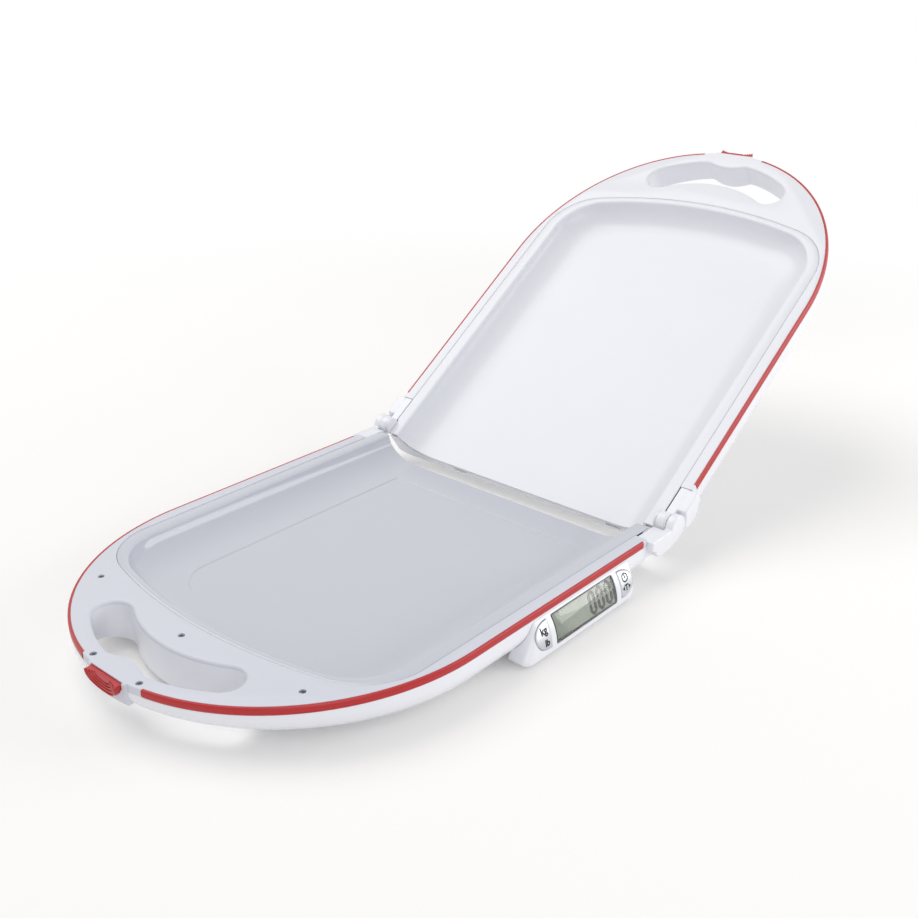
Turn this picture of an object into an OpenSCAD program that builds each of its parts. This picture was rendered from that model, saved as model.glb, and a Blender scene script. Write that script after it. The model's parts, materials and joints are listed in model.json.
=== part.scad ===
// Folding digital baby weighing scale, half open.
// Two tray halves joined by a side hinge each side. All sizes are in millimetres.
// Frame: +Z up, origin on the floor that the feet stand on, under the middle of the whole object.
// The base half points to -X, the lid half to +X, and the display is on the -Y side.
// Each half is drawn in its own half frame: +u from the hinge axis to the tip, z = 0 on the rim.

/* [Halves] */
// Width across both halves at the rim
body_w = 300; // [280:1:320]
// Length of one half, from the hinge axis to its tip
half_len = 390; // [375:1:410]
// Length of the rounded end of a half
end_len = 162; // [150:1:170]
// Depth of a half from its rim to its underside
shell_h = 30; // [28:0.5:34]
// Wall thickness of the mouldings
wall = 2.5; // [2:0.1:3]
// Height that the feet hold the underside off the floor
foot_h = 5; // [4:0.5:8]
// Lid tilt from lying open flat, as shown
lid_tilt = 33.3; // [10:0.1:60]
// Distance of each rim below the hinge axis
rim_gap = 0.4; // [0.3:0.1:1]

/* [Rim] */
// Thickness of the deck plate
deck_t = 2.5; // [2:0.1:3]
// Thickness of the deck edge above the red band
edge_t = 0.9; // [0.6:0.1:1.2]
// Height of the red band
band_h = 5; // [4:0.1:6]
// Thickness of the red band
band_t = 1.8; // [1.2:0.1:2]
// Distance from the hinge axis to the ends of the red band
band_start = 38; // [36:0.5:44]

/* [Tray] */
// Width of the deck beside the tray seam
rim_side = 11; // [9:0.5:14]
// Length of the deck at the handle, from the tray seam to the tip
handle_len = 68; // [66:1:78]
// Radius of the bowed end of the tray
tray_bow = 400; // [360:5:440]
// Radius of the tray corners
tray_corner = 48; // [44:1:52]
// Depth of the tray floor below the rim
tray_depth = 20.5; // [18:0.5:21]
// Width of the tray's flat lip
lip_w = 11; // [9:0.5:12]
// Run of the curved side walls, measured across
cove_side = 33; // [28:1:36]
// Run of the curved end wall, measured along
cove_end = 20; // [14:1:24]
// Depth of the sunken floor panel
panel_step = 0.8; // [0.5:0.1:1]
// Distance from the hinge axis to the hinge-side edge of the base tray
base_start = 15; // [14:0.5:16]
// Distance that the lid tray reaches past the hinge axis
lid_reach = 6; // [4:0.5:7]

/* [Hand holes] */
// Distance from the tip to the tray side of the hole, on the middle line
hole_near_in = 41; // [39:0.5:44]
// Radius of the tray side of the hole
hole_near_r = 102.4; // [100:0.2:104]
// Distance from the tip to its side of the hole, without the bump
hole_far_in = 12.4; // [12:0.2:15]
// Radius of the tip side of the hole
hole_far_r = 114.8; // [113:0.2:116]
// Radius of the hole's round ends
hole_end_r = 13.1; // [13:0.05:13.2]
// Height of the bump in the tip side of the hole
bump_h = 6; // [5:0.2:6.5]
// Half width of that bump
bump_hw = 19; // [18:0.5:20]

/* [Hinges] */
// Radius of the lid knuckle
knuckle_r = 7.5; // [6.5:0.1:8]
// Radius of the hinge pin
pin_r = 2.5; // [2:0.1:3]
// Radial running clearance of the lid knuckle on its pin
pin_fit = 0.06; // [0.03:0.01:0.1]
// Length of each lid knuckle
knuckle_len = 7.3; // [6:0.1:7.5]
// Thickness of the friction washer
washer_t = 0.8; // [0.6:0.1:1]
// Distance that the hinge arms stand out past the side walls
arm_out = 5; // [4:0.5:6]
// Depth of the hinge arms below the axis
arm_depth = 17; // [15:0.5:18]

/* [Display unit] */
// Distance from the hinge axis to the middle of the display window
window_mid = 116.5; // [114:0.5:120]
// Width of the display window
window_w = 70.5; // [66:0.5:71]
// Height of the display window, measured along its face
window_h = 21; // [19:0.5:21.5]
// Radius of the curved face
face_r = 36; // [35:0.5:38]
// Distance that the face's curve would stand out past the side wall at its furthest
pod_out = 8; // [7.8:0.2:9]
// Depth of the face's furthest point below the rim
face_low = 29.4; // [29:0.2:30]
// Angle of the window's middle above the horizontal
face_tilt = 19.1; // [18:0.1:20]
// Distance from the hinge axis to the unit's end on the hinge side
pod_near = 57; // [55:0.5:58]
// Distance from the hinge axis to its other end
pod_far = 190; // [188:1:193]
// Width of each key
key_w = 15; // [14:0.5:15.5]
// Height of each key
key_h = 20; // [18:0.5:20.5]
// Space between the window and a key
key_space = 6; // [5:0.2:7]
// Travel of the keys
key_travel = 0.8; // [0.5:0.1:1]

/* [Latches] */
// Width of the red latch button
latch_w = 31; // [28:0.5:32]
// Height of the red latch button
latch_h = 12; // [10:0.5:13]
// Distance that the button stands out past the tip
latch_out = 5; // [4:0.5:6]
// Depth of the thumb hollow in its front
latch_hollow = 3; // [2:0.2:4]
// Travel of the latch buttons
latch_travel = 3; // [2:0.2:3]

/* [Feet and cells] */
// Radius of the foot
foot_r = 16; // [14:0.5:17]
// Radius of the rubber pad under the foot
pad_r = 15; // [12:0.5:15.5]
// Thickness of the rubber pad
pad_t = 2; // [1.5:0.1:2.5]
// Side of the square load cell plate
cell_w = 34; // [30:1:35]
// Distance from the hinge axis to the feet beside the hinge
foot_near = 36; // [35:0.5:40]
// Distance from the tip to the feet beside the handle
foot_far_in = 132; // [128:1:150]
// Distance of the feet in from the sides
foot_side = 62; // [58:1:70]

/* [Counterweights] */
// Thickness of the steel plates that keep the base down
weight_t = 3; // [2:0.1:3.4]
// Length of each plate
weight_len = 110; // [90:1:112]
// Width of each plate
weight_w = 40; // [30:1:42]

/* [Battery] */
// Diameter of an AA battery
battery_d = 14.2; // [13.5:0.1:14.5]
// Length of an AA battery
battery_l = 50; // [49:0.5:50.5]
// Number of batteries in line
battery_n = 3; // [2:1:3]
// Distance from the hinge axis to the first battery contact
battery_start = 66; // [62:1:80]

/* [Hidden] */

// Clearances
seat = 0.3;              // running gap between pieces of different bodies
fit = 0.2;               // gap round a piece that is fixed in its place
tiny = 0.01;             // thickness of a hull's slice
big = 500;               // longer than anything it cuts

rim_z = foot_h + shell_h;
axis_z = rim_z + rim_gap;
rim_hw = body_w / 2;
seam_hw = rim_hw - rim_side;
seam_end = half_len - handle_len;
foot_far = half_len - foot_far_in;
foot_hy = rim_hw - foot_side;
wire_u = foot_far - cell_w / 2 - 5;  // the wires cross the half here
straight_len = half_len - end_len;
band_top = -edge_t - 0.1;
band_low = band_top - band_h;
shell_top = band_low - 0.1;
lip_low = -deck_t - 2;               // underside of the ledge that carries the tray
notch_hw = seam_hw + 0.5;            // side of the narrow neck beside the hinge arms
arm_end = band_start - 5;            // hinge arms reach to here
floor_low = -tray_depth - wall;      // underside of the tray
inner_low = wall - shell_h;          // top side of the shell's floor
tray_top = -seat;                    // the tray's lip lies just below the rim
panel_start = base_start + 29;
panel_end = seam_end - 40;
panel_hw = seam_hw - lip_w - cove_side - 3;
band_gap = 30;                       // half length of the gap in the band at the latch
knuckle_in = notch_hw + seat;
washer_in = knuckle_in + knuckle_len + 0.1;
plate_in = washer_in + washer_t + 0.1;
plate_out = rim_hw + arm_out;

// Colours
white = [0.93, 0.94, 0.96];
pale = [0.84, 0.86, 0.91];
red = [0.80, 0.12, 0.12];
silver = [0.72, 0.73, 0.77];
steel = [0.60, 0.61, 0.63];
dark = [0.15, 0.15, 0.16];

// ---------- frames ----------
module place_base() translate([mid_x, mid_y, rim_z]) mirror([1, 0, 0]) children();
module place_lid() translate([mid_x, mid_y, axis_z]) rotate([0, -lid_tilt, 0]) translate([0, 0, -rim_gap])
  children();
module both_sides() { children(); mirror([0, 1, 0]) children(); }

// ---------- outlines ----------
// Outline of a half: straight sides and an elliptical end. hw is its half width, len its length.
function half_pts(u0, hw, len) = concat(
  [[u0, -hw]],
  [for (a = [-90 : 6 : 90]) [straight_len + (len - straight_len) * cos(a), hw * sin(a)]],
  [[u0, hw]]);

// Outline of the tray: straight sides, round corners and a bowed end that are all tangent.
function tray_pts(u0, hw, end, bow, corner) =
  let (bow_mid = end - bow,
       cy = hw - corner,
       cu = bow_mid + sqrt(pow(bow - corner, 2) - cy * cy),
       phi = atan2(cy, cu - bow_mid))
  concat(
    [[u0, -hw]],
    [for (i = [0 : 6]) let (a = -90 + (90 - phi) * i / 6) [cu + corner * cos(a), -cy + corner * sin(a)]],
    [for (i = [1 : 5]) let (a = -phi + 2 * phi * i / 6) [bow_mid + bow * cos(a), bow * sin(a)]],
    [for (i = [0 : 6]) let (a = phi + (90 - phi) * i / 6) [cu + corner * cos(a), cy + corner * sin(a)]],
    [[u0, hw]]);

// The seam between deck and tray, grown by g.
function seam_pts(u0, g) = tray_pts(u0, seam_hw + g, seam_end + g, tray_bow + g, tray_corner + g);

// Hand hole, grown by g: two arcs, round ends tangent to both, and a bump over the latch.
hole_mid_near = half_len - hole_near_in - hole_near_r;
hole_mid_far = half_len - hole_far_in - hole_far_r;
near_reach = hole_near_r + hole_end_r;
far_reach = hole_far_r - hole_end_r;
hole_cu = (near_reach * near_reach - far_reach * far_reach
  + hole_mid_far * hole_mid_far - hole_mid_near * hole_mid_near) / (2 * (hole_mid_far - hole_mid_near));
hole_cy = sqrt(pow(far_reach, 2) - pow(hole_cu - hole_mid_far, 2));
hole_a_near = atan2(hole_cy, hole_cu - hole_mid_near);
hole_a_far = atan2(hole_cy, hole_cu - hole_mid_far);
function bump(y) = abs(y) < bump_hw ? bump_h * (1 - pow(y / bump_hw, 2)) : 0;
function hole_half(g) = concat(
  [for (i = [0 : 4]) let (a = hole_a_near * i / 5)
    [hole_mid_near + (hole_near_r - g) * cos(a), (hole_near_r - g) * sin(a)]],
  [for (i = [0 : 8]) let (a = 180 + hole_a_near + (hole_a_far - 180 - hole_a_near) * i / 8)
    [hole_cu + (hole_end_r + g) * cos(a), hole_cy + (hole_end_r + g) * sin(a)]],
  [for (i = [1 : 12]) let (a = hole_a_far * (1 - i / 12), y = (hole_far_r + g) * sin(a))
    [hole_mid_far + (hole_far_r + g) * cos(a) - bump(y), y]]);
function hole_pts(g) = let (h = hole_half(g), n = len(h))
  concat(h, [for (i = [n - 2 : -1 : 1]) [h[i][0], -h[i][1]]]);

// ---------- shells ----------
// How far the wall has drawn in at a depth: nothing above `from`, then a quarter ellipse.
side_from = 12;
side_run = 26;
end_from = 8;
end_run = 60;
function draw_in(depth, from, run) =
  depth <= from ? 0 : run * (1 - sqrt(1 - pow(min(1, (depth - from) / (shell_h - from)), 2)));
shell_steps = [0, 0.25, 0.46, 0.64, 0.78, 0.9, 0.97, 1];

// Solid form of the casing, drawn in by t all over, from z = top down.
module casing(u0, t, top) hull() for (k = shell_steps) {
  d = -shell_top + (shell_h + shell_top) * k;
  translate([0, 0, k == 0 ? top : -d + t * k]) linear_extrude(tiny) polygon(half_pts(u0,
    rim_hw - fit - t - draw_in(d, side_from, side_run),
    half_len - fit - t - draw_in(d, end_from, end_run)));
}

// Space beside the neck that the hinge arms fill, drawn in by t.
module arm_space(t) both_sides()
  translate([-big, notch_hw - t, -shell_h - 1]) cube([big + arm_end + t, big, shell_h + 3]);

// The tray's hollow, or its outside when grown by t, up to z = top.
cove_steps = [0, 18, 36, 54, 72, 90];
module tray_form(u0, t, top) hull() for (a = cove_steps) {
  run = 1 - sin(a);
  translate([0, 0, -tray_depth * cos(a) - t]) linear_extrude(a == 90 ? top + t : tiny)
    polygon(tray_pts(u0, seam_hw - lip_w - cove_side * run + t, seam_end - lip_w / 2 - cove_end * run + t,
      tray_bow - 10, tray_corner - 5 - 6 * run));
}

// Half of an oval, as wide and as high as the latch button, grown by g, from u = from to u = to.
latch_z = -edge_t - seat;            // top of the red button, under the deck's edge
module latch_prism(from, to, g) translate([from, 0, latch_z]) rotate([90, 0, 90])
  linear_extrude(to - from) polygon(concat(
    [[-latch_w / 2 - g, g]],
    [for (a = [180 : 10 : 360]) [(latch_w / 2 + g) * cos(a), (latch_h + g) * sin(a)]],
    [[latch_w / 2 + g, g]]));
latch_back = half_len - 6.5;
collar_hw = latch_w / 2 + 3.5;
collar_in = half_len - 10;
collar_low = latch_z - latch_h - 2;
collar_out = 1.2;                    // the collars stand out this far past the tips

// The hinge axis stands off the middle of the whole object's box by mid_x and mid_y.
mid_x = (half_len + latch_out - (half_len + collar_out) * cos(lid_tilt)
  + (collar_low - rim_gap) * sin(lid_tilt)) / 2;
mid_y = (pod_out - arm_out) / 2;

screw_r = 1.5;
screw_head_r = 2.6;
head_depth = 1.4;                    // seat of the deck screws' heads below the rim
boss_r = 4;
case_screw_near = 84;                // from the hinge axis
case_screw_in = 176;                 // from the tip
case_screw_side = 92;                // in from the sides
deck_screw_side = 48.5;              // in from the sides
deck_screw_end = 3.5;                // past the end of the tray
handle_screw_in = 7;                 // from the tip
handle_screw_y = collar_hw + 4.5;
deck_screws = [
  [seam_end + deck_screw_end, rim_hw - deck_screw_side],
  [seam_end + deck_screw_end, deck_screw_side - rim_hw],
  [seam_end + 13, 0],
  [half_len - handle_screw_in, handle_screw_y],
  [half_len - handle_screw_in, -handle_screw_y]];
module at_case_screws() for (u = [case_screw_near, half_len - case_screw_in], s = [-1, 1])
  translate([u, s * (rim_hw - case_screw_side), 0]) children();
module at_deck_screws() for (p = deck_screws) translate([p[0], p[1], 0]) children();
base_feet_u = [foot_near, foot_far];
lid_feet_u = [foot_far];             // the hinge carries the lid's other end
module at_feet(feet_u) for (u = feet_u, s = [-1, 1]) translate([u, s * foot_hy, 0]) children();

// Ring that the red band fills.
module band_ring(from) translate([0, 0, band_low]) linear_extrude(band_h) difference() {
  polygon(half_pts(from, rim_hw, half_len));
  polygon(half_pts(-big, rim_hw - band_t, half_len - band_t));
}

// Clears the round of the hinge knuckle out of the tray corners.
knuckle_room_r = knuckle_r + 1;
module knuckle_room() both_sides() translate([0, knuckle_in - 2.4, rim_gap]) rotate([-90, 0, 0])
  cylinder(r = knuckle_room_r, h = big, $fn = 64);

// Lower casing of a half: outer skin, neck, lining of the hand hole and lip behind the band.
module half_shell(u0, feet_u) {
  upstand_hw = rim_hw - band_t - fit;
  upstand_len = half_len - band_t - fit;
  difference() {
    union() {
      difference() {
        casing(u0, 0, shell_top);
        difference() {
          casing(u0 + wall, wall, 1);
          arm_space(wall);
          translate([0, 0, -shell_h]) linear_extrude(shell_h + 2) polygon(hole_pts(wall + seat));
          for (p = deck_screws) translate([p[0], p[1], -shell_h]) cylinder(r = boss_r, h = shell_h + 2);
        }
      }
      translate([0, 0, shell_top - tiny]) linear_extrude(-deck_t - shell_top + tiny) {
        polygon(hole_pts(wall + seat));
        at_deck_screws() circle(r = boss_r);
        difference() {
          polygon(half_pts(arm_end, upstand_hw, upstand_len));
          polygon(half_pts(arm_end + wall, upstand_hw - wall, upstand_len - wall));
        }
        difference() {
          translate([u0, -notch_hw]) square([arm_end + wall - u0, 2 * notch_hw]);
          translate([u0 + wall, wall - notch_hw]) square([big, 2 * (notch_hw - wall)]);
        }
      }
      intersection() {
        band_ring(arm_end);
        translate([half_len - 20, -band_gap + seat, band_low]) cube([40, 2 * (band_gap - seat), band_h]);
      }
    }
    arm_space(0);
    translate([0, 0, -shell_h - 1]) linear_extrude(shell_h + 2) polygon(hole_pts(seat));
    tray_form(-big, wall + fit, 2);
    at_case_screws() translate([0, 0, -shell_h - 1]) cylinder(r = screw_r + seat, h = wall + 2, $fn = 32);
    at_case_screws() translate([0, 0, -shell_h - 1]) cylinder(r = screw_head_r + seat, h = 2.3, $fn = 32);
    at_feet(feet_u) translate([0, 0, -shell_h - 1]) cylinder(r = foot_r + 0.5, h = wall + 2, $fn = 64);
    at_deck_screws() translate([0, 0, -10]) cylinder(r = screw_r, h = 12, $fn = 32);
    latch_prism(latch_back - latch_travel - 2, half_len + 20, 2 * seat);
    translate([collar_in - fit, -collar_hw - fit, collar_low - fit])
      cube([40, 2 * (collar_hw + fit), -collar_low + 2]);
  }
}

// The deck's ledge stays inside the casing's lip behind the band.
ledge_in = band_t + wall + 2 * fit;

// Upper plate of a half: rim, handle, ledge for the tray and collar round the latch.
module half_deck(screws) difference() {
  union() {
    translate([0, 0, -edge_t]) linear_extrude(edge_t)
      polygon(half_pts(arm_end, rim_hw - 0.4, half_len - 0.4));
    translate([0, 0, -deck_t]) linear_extrude(deck_t)
      polygon(half_pts(arm_end, rim_hw - band_t - fit, half_len - band_t - fit));
    translate([0, 0, lip_low]) linear_extrude(-lip_low) intersection() {
      polygon(seam_pts(arm_end + wall + fit, 3));
      polygon(half_pts(arm_end, rim_hw - ledge_in, half_len - ledge_in));
    }
    intersection() {
      translate([0, 0, collar_low]) linear_extrude(-collar_low)
        polygon(half_pts(0, rim_hw, half_len + collar_out));
      translate([collar_in, -collar_hw, collar_low]) cube([40, 2 * collar_hw, -collar_low]);
    }
  }
  translate([0, 0, -deck_t]) linear_extrude(deck_t + 1) polygon(seam_pts(-big, fit));
  translate([0, 0, lip_low - 1]) linear_extrude(big) polygon(seam_pts(-big, -6));
  tray_form(-big, wall + fit, 2);
  translate([0, 0, -30]) linear_extrude(40) polygon(hole_pts(0));
  latch_prism(collar_in - 1, half_len + 20, seat);
  translate([latch_top_u, -latch_w / 2 - seat, latch_z - 1]) cube([40, latch_w + 2 * seat, 10]);
  if (screws) at_deck_screws() {
    translate([0, 0, -deck_t - 1]) cylinder(r = screw_r + seat, h = 10, $fn = 32);
    translate([0, 0, -head_depth]) cylinder(r = screw_head_r + seat, h = 10, $fn = 32);
  }
}
latch_top_u = half_len - 0.8;        // the deck's edge over the button ends here

// Sunken tray: flat lip, curved walls, floor and screw bosses under it.
module half_tray(u0, has_panel) difference() {
  union() {
    tray_form(u0, wall, tray_top);
    translate([0, 0, -deck_t]) linear_extrude(deck_t + tray_top) polygon(seam_pts(u0, 0));
    at_case_screws() translate([0, 0, inner_low + tiny]) cylinder(r = boss_r, h = floor_low - inner_low + 1);
  }
  tray_form(-big, 0, 2);
  at_case_screws() translate([0, 0, inner_low - 1]) cylinder(r = screw_r, h = 6, $fn = 32);
  if (has_panel) translate([0, 0, -tray_depth - panel_step]) linear_extrude(panel_step + 1)
    polygon(tray_pts(panel_start, panel_hw, panel_end, tray_bow, 30));
}

module half_band() difference() {
  band_ring(band_start);
  translate([half_len - 20, -band_gap, band_low - 1]) cube([40, 2 * band_gap, band_h + 2]);
}

// Red button: half an oval, hollowed in front for the thumb, with a guide stem behind.
stem_r = 2.4;
stem_z = latch_z - latch_h / 2;
stem_back = latch_back - 5;
hollow_r = (latch_w * latch_w / 4 + latch_hollow * latch_hollow) / (2 * latch_hollow);
module latch_button() difference() {
  union() {
    latch_prism(latch_back, half_len + latch_out, 0);
    translate([stem_back, 0, stem_z]) rotate([0, 90, 0]) cylinder(r = stem_r, h = 6, $fn = 32);
  }
  translate([half_len + latch_out + hollow_r - latch_hollow, 0, -big / 2])
    cylinder(r = hollow_r, h = big, $fn = 180);
}
// Spring round the stem, between the lining of the hand hole and the button.
module latch_spring() translate([latch_back - latch_travel - 5, 0, stem_z]) rotate([0, 90, 0]) difference() {
  cylinder(r = 4.2, h = 5 - seat, $fn = 48);
  translate([0, 0, -1]) cylinder(r = stem_r + seat, h = 9, $fn = 48);
}

module load_cells(feet_u) at_feet(feet_u) translate([-cell_w / 2, -cell_w / 2, inner_low]) difference() {
  cube([cell_w, cell_w, 2.2]);
  for (y = [8, cell_w - 10]) translate([6, y, -1]) cube([cell_w - 14, 2, 5]);
  translate([cell_w - 10, 8, -1]) cube([2, cell_w - 16, 5]);
}
module foot_cups(feet_u) at_feet(feet_u) translate([0, 0, -shell_h - foot_h + pad_t])
  cylinder(r = foot_r, h = foot_h - pad_t + wall, $fn = 64);
module foot_pads(feet_u) at_feet(feet_u) translate([0, 0, -shell_h - foot_h])
  cylinder(r = pad_r, h = pad_t, $fn = 64);
// Pegs of the base shell that the counterweight plates are pressed onto.
peg_r = 2.4;
weight_start = wire_u - 6 - weight_len;
weight_y = rim_hw - case_screw_side - boss_r - 3 - weight_w / 2;
module at_weights() for (s = [-1, 1]) translate([weight_start, s * weight_y, inner_low]) children();
module at_pegs() for (u = [12, weight_len - 12]) translate([u, 0, 0]) children();
module case_screws() at_case_screws() {
  translate([0, 0, -shell_h + 0.2]) cylinder(r = screw_head_r, h = 1.1, $fn = 32);
  translate([0, 0, -shell_h + 1]) cylinder(r = screw_r - 0.05, h = 6.4, $fn = 32);
}

// ---------- hinges ----------
round_off = 2.5;                     // centre of the base arm's round end, from the axis each way
round_r = knuckle_r + 2;
round_clear = round_off * sqrt(2) + round_r + seat;
// Arm of the base half: an outer plate with the pin's blind bore, and a root under the deck.
module base_arm() difference() {
  union() {
    translate([0, plate_out, 0]) rotate([90, 0, 0]) linear_extrude(plate_out - plate_in) {
      translate([-round_off, rim_gap - round_off]) circle(r = round_r, $fn = 96);
      translate([arm_end - 14, 8 - arm_depth]) circle(r = 8, $fn = 96);
      polygon([[-round_off, 5 - arm_depth], [8, 0.9 - arm_depth], [arm_end - 14, -arm_depth],
        [arm_end - fit, 6 - arm_depth], [arm_end - fit, -1.5], [-round_off, -1.5]]);
    }
    translate([knuckle_room_r + seat, knuckle_in, -arm_depth + 2])
      cube([arm_end - fit - knuckle_room_r - seat, plate_in - knuckle_in + 1, arm_depth - 3.5]);
  }
  translate([0, plate_in - 1, rim_gap]) rotate([-90, 0, 0]) cylinder(r = pin_r + 0.02, h = 6, $fn = 64);
}
// Arm of the lid half: a knuckle that turns on the pin, and a plate in line with the base arm's.
module lid_arm() difference() {
  union() {
    translate([0, knuckle_in, rim_gap]) rotate([-90, 0, 0]) cylinder(r = knuckle_r, h = knuckle_len, $fn = 96);
    translate([0, knuckle_in + knuckle_len, 0]) rotate([90, 0, 0]) linear_extrude(knuckle_len)
      polygon([[0, 2 - knuckle_r], [6, 2 - arm_depth], [arm_end - fit, 2 - arm_depth], [arm_end - fit, -0.6],
        [2, -0.6]]);
    translate([0, plate_out, 0]) rotate([90, 0, 0]) linear_extrude(plate_out - knuckle_in - knuckle_len + 1)
      difference() {
        union() {
          translate([arm_end - 14, 8 - arm_depth]) circle(r = 8, $fn = 96);
          polygon([[2, 2 - arm_depth], [arm_end - 14, -arm_depth], [arm_end - fit, 6 - arm_depth],
            [arm_end - fit, -0.6], [2, -0.6]]);
        }
        translate([0, rim_gap]) circle(r = round_clear, $fn = 96);
      }
  }
  translate([0, knuckle_in - 1, rim_gap]) rotate([-90, 0, 0])
    cylinder(r = pin_r + pin_fit, h = knuckle_len + 2, $fn = 64);
}

// ---------- display unit, in the base's half frame, on its -Y side ----------
face_y = -(rim_hw + pod_out - face_r);
face_z = -face_low;
pod_top = shell_top - 0.2;
pod_low = -shell_h - foot_h + 1.5;   // clear of the table
pod_t = 2;
lens_t = 1.6;
glass_t = 2.6;
board_t = 1.6;
glass_out = face_r - pod_t - 1.6;    // distance of the glass's front from the face's centre line
board_out = glass_out - glass_t;

// Frame on the face: x along u, y up the face, z outwards from the face's centre line.
module on_face(u) translate([u, face_y, face_z]) rotate([90 - face_tilt, 0, 0]) children();
module face_roll(r) translate([0, face_y, face_z]) rotate([0, 90, 0]) cylinder(r = r, h = big, $fn = 240);

// Outline of the unit seen from above, drawn in by t.
pod_round_far = 22;
pod_round_near = 9;
pod_slant = 22;                      // the far end leans in by this much at the top
// It stops beside the battery door, which comes out downwards.
pod_in = rim_hw - 7;
function pod_pts(t, far) = let (out = pod_out + 4) concat(
  [[pod_near + t, -pod_in - t], [pod_near + t, -rim_hw - 1]],
  [for (a = [0 : 10 : 90]) [pod_near + t + pod_round_near * (1 - cos(a)), -rim_hw - 1 - (out - 3) * sin(a)]],
  [for (a = [90 : 10 : 180]) [far - t - pod_round_far * (1 + cos(a)), -rim_hw - 1 - (out - 3) * sin(a)]],
  [[far - t, -rim_hw - 1], [far - t, -pod_in - t]]);
module pod_form(t) intersection() {
  hull() {
    translate([0, 0, pod_low + t]) linear_extrude(tiny) polygon(pod_pts(t, pod_far));
    translate([0, 0, pod_top - t - tiny]) linear_extrude(tiny) polygon(pod_pts(t, pod_far - pod_slant));
  }
  face_roll(face_r - t);
}

// Key outline: straight towards the window, round on the other side, grown by g.
module key_outline(g) polygon(concat([[-g, -key_h / 2 - g]],
  [for (a = [-90 : 10 : 90]) [(key_w + g) * pow(cos(a), 0.85), (key_h / 2 + g) * sin(a)]],
  [[-g, key_h / 2 + g]]));
key_edge = window_w / 2 + key_space;
module at_unit_key() on_face(window_mid + key_edge) children();
module at_power_key() on_face(window_mid - key_edge) mirror([1, 0, 0]) children();
module key_body() {
  intersection() {
    translate([0, 0, face_r - 6]) linear_extrude(12) key_outline(0);
    rotate([0, 90, 0]) translate([0, 0, -big / 2]) difference() {
      cylinder(r = face_r + 0.5, h = big, $fn = 240);
      translate([0, 0, -1]) cylinder(r = face_r - pod_t, h = big + 2, $fn = 240);
    }
  }
  translate([key_w * 0.42, 0, switch_top + key_travel + 0.1])
    cylinder(r = 1.6, h = face_r - pod_t + 0.3 - switch_top - key_travel - 0.1, $fn = 32);
}
switch_top = board_out + 2.2;
board_w = 16;
board_end = window_mid + key_edge + key_w * 0.7;
back_near = 2 * window_mid - board_end - 2;   // the opening in the base behind the unit
back_far = board_end + 6.5;
back_low = -25;
back_top = pod_top - 1.7;
function pod_end(z) = pod_far - pod_slant * (z - pod_low) / (pod_top - pod_low);
module key_switch() translate([key_w * 0.42, 0, 0]) {
  translate([-3, -3, board_out]) cube([6, 6, 1.6]);
  translate([0, 0, board_out + 1.5]) cylinder(r = 1.2, h = 0.7, $fn = 32);
}

// ---------- battery ----------
cell_r = battery_d / 2;
cell_y = -(rim_hw - 16.5);
cell_z = -17.8;
battery_end = battery_start + battery_n * battery_l + 4;
door_in = rim_hw - 25.5;
door_out = pod_in - seat - fit;
module battery_line(r, from, to) translate([from, cell_y, cell_z]) rotate([0, 90, 0])
  cylinder(r = r, h = to - from, $fn = 64);
module door_space(g) translate([battery_start - 2 - g, -door_out - g, -shell_h - 1])
  cube([battery_end - battery_start + 4 + 2 * g, door_out - door_in + 2 * g, shell_h - 15]);

// ---------- wires ----------
wire_r = 1;
module wire(points) for (i = [0 : len(points) - 2]) {
  a = points[i];
  d = points[i + 1] - a;
  translate(a) rotate([0, acos(d[2] / norm(d)), atan2(d[1], d[0])]) cylinder(r = wire_r, h = norm(d), $fn = 8);
  if (i > 0) translate(a) sphere(r = wire_r, $fn = 8);
}
wire_z = inner_low + wire_r + 0.1;
display_wire_u = max(wire_u, battery_end + 6);  // it passes the end of the battery cradle
module cell_wires(from_u) {
  for (s = [-1, 1]) wire([[from_u, s * foot_hy, wire_z],
    [wire_u, s * foot_hy, wire_z], [foot_far - cell_w / 2 - tiny, s * foot_hy, wire_z]]);
  wire([[wire_u, foot_hy, wire_z], [wire_u, -foot_hy, wire_z]]);
}

// ---------- base half ----------
module base_shell() color(white) place_base() difference() {
  union() {
    half_shell(base_start, base_feet_u);
    at_weights() at_pegs() translate([0, 0, -tiny]) cylinder(r = peg_r, h = weight_t + 0.6, $fn = 32);
  }
  door_space(seat);
  // opening behind the display unit, kept inside its leaning end
  translate([0, 7 - rim_hw, 0]) rotate([90, 0, 0]) linear_extrude(8) polygon(concat(
    [[back_near, back_low]],
    [for (z = [back_low : 1 : back_top]) [min(back_far, pod_end(z) - 1.5), z]],
    [[back_near, back_top]]));
}
module base_deck() color(pale) place_base() half_deck(true);
module base_tray() color(pale) place_base() half_tray(base_start, true);
module base_trim_band() color(red) place_base() half_band();
module base_deck_screws() color(steel) place_base() at_deck_screws() {
  translate([0, 0, -head_depth]) cylinder(r = screw_head_r, h = 0.9, $fn = 32);
  translate([0, 0, -9.5]) cylinder(r = screw_r - 0.05, h = 8.5, $fn = 32);
}
module base_case_screws() color(steel) place_base() case_screws();
module base_load_cells() color(steel) place_base() load_cells(base_feet_u);
module base_feet() color(pale) place_base() foot_cups(base_feet_u);
module base_foot_pads() color(dark) place_base() foot_pads(base_feet_u);
module base_counterweights() color(steel) place_base() at_weights() difference() {
  translate([0, -weight_w / 2, 0]) cube([weight_len, weight_w, weight_t]);
  at_pegs() translate([0, 0, -1]) cylinder(r = peg_r + fit, h = weight_t + 2, $fn = 32);
}
module base_latch_button() color(red) place_base() latch_button();
module base_latch_spring() color(steel) place_base() latch_spring();
module base_hinge_arms() color(white) place_base() both_sides() base_arm();
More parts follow.
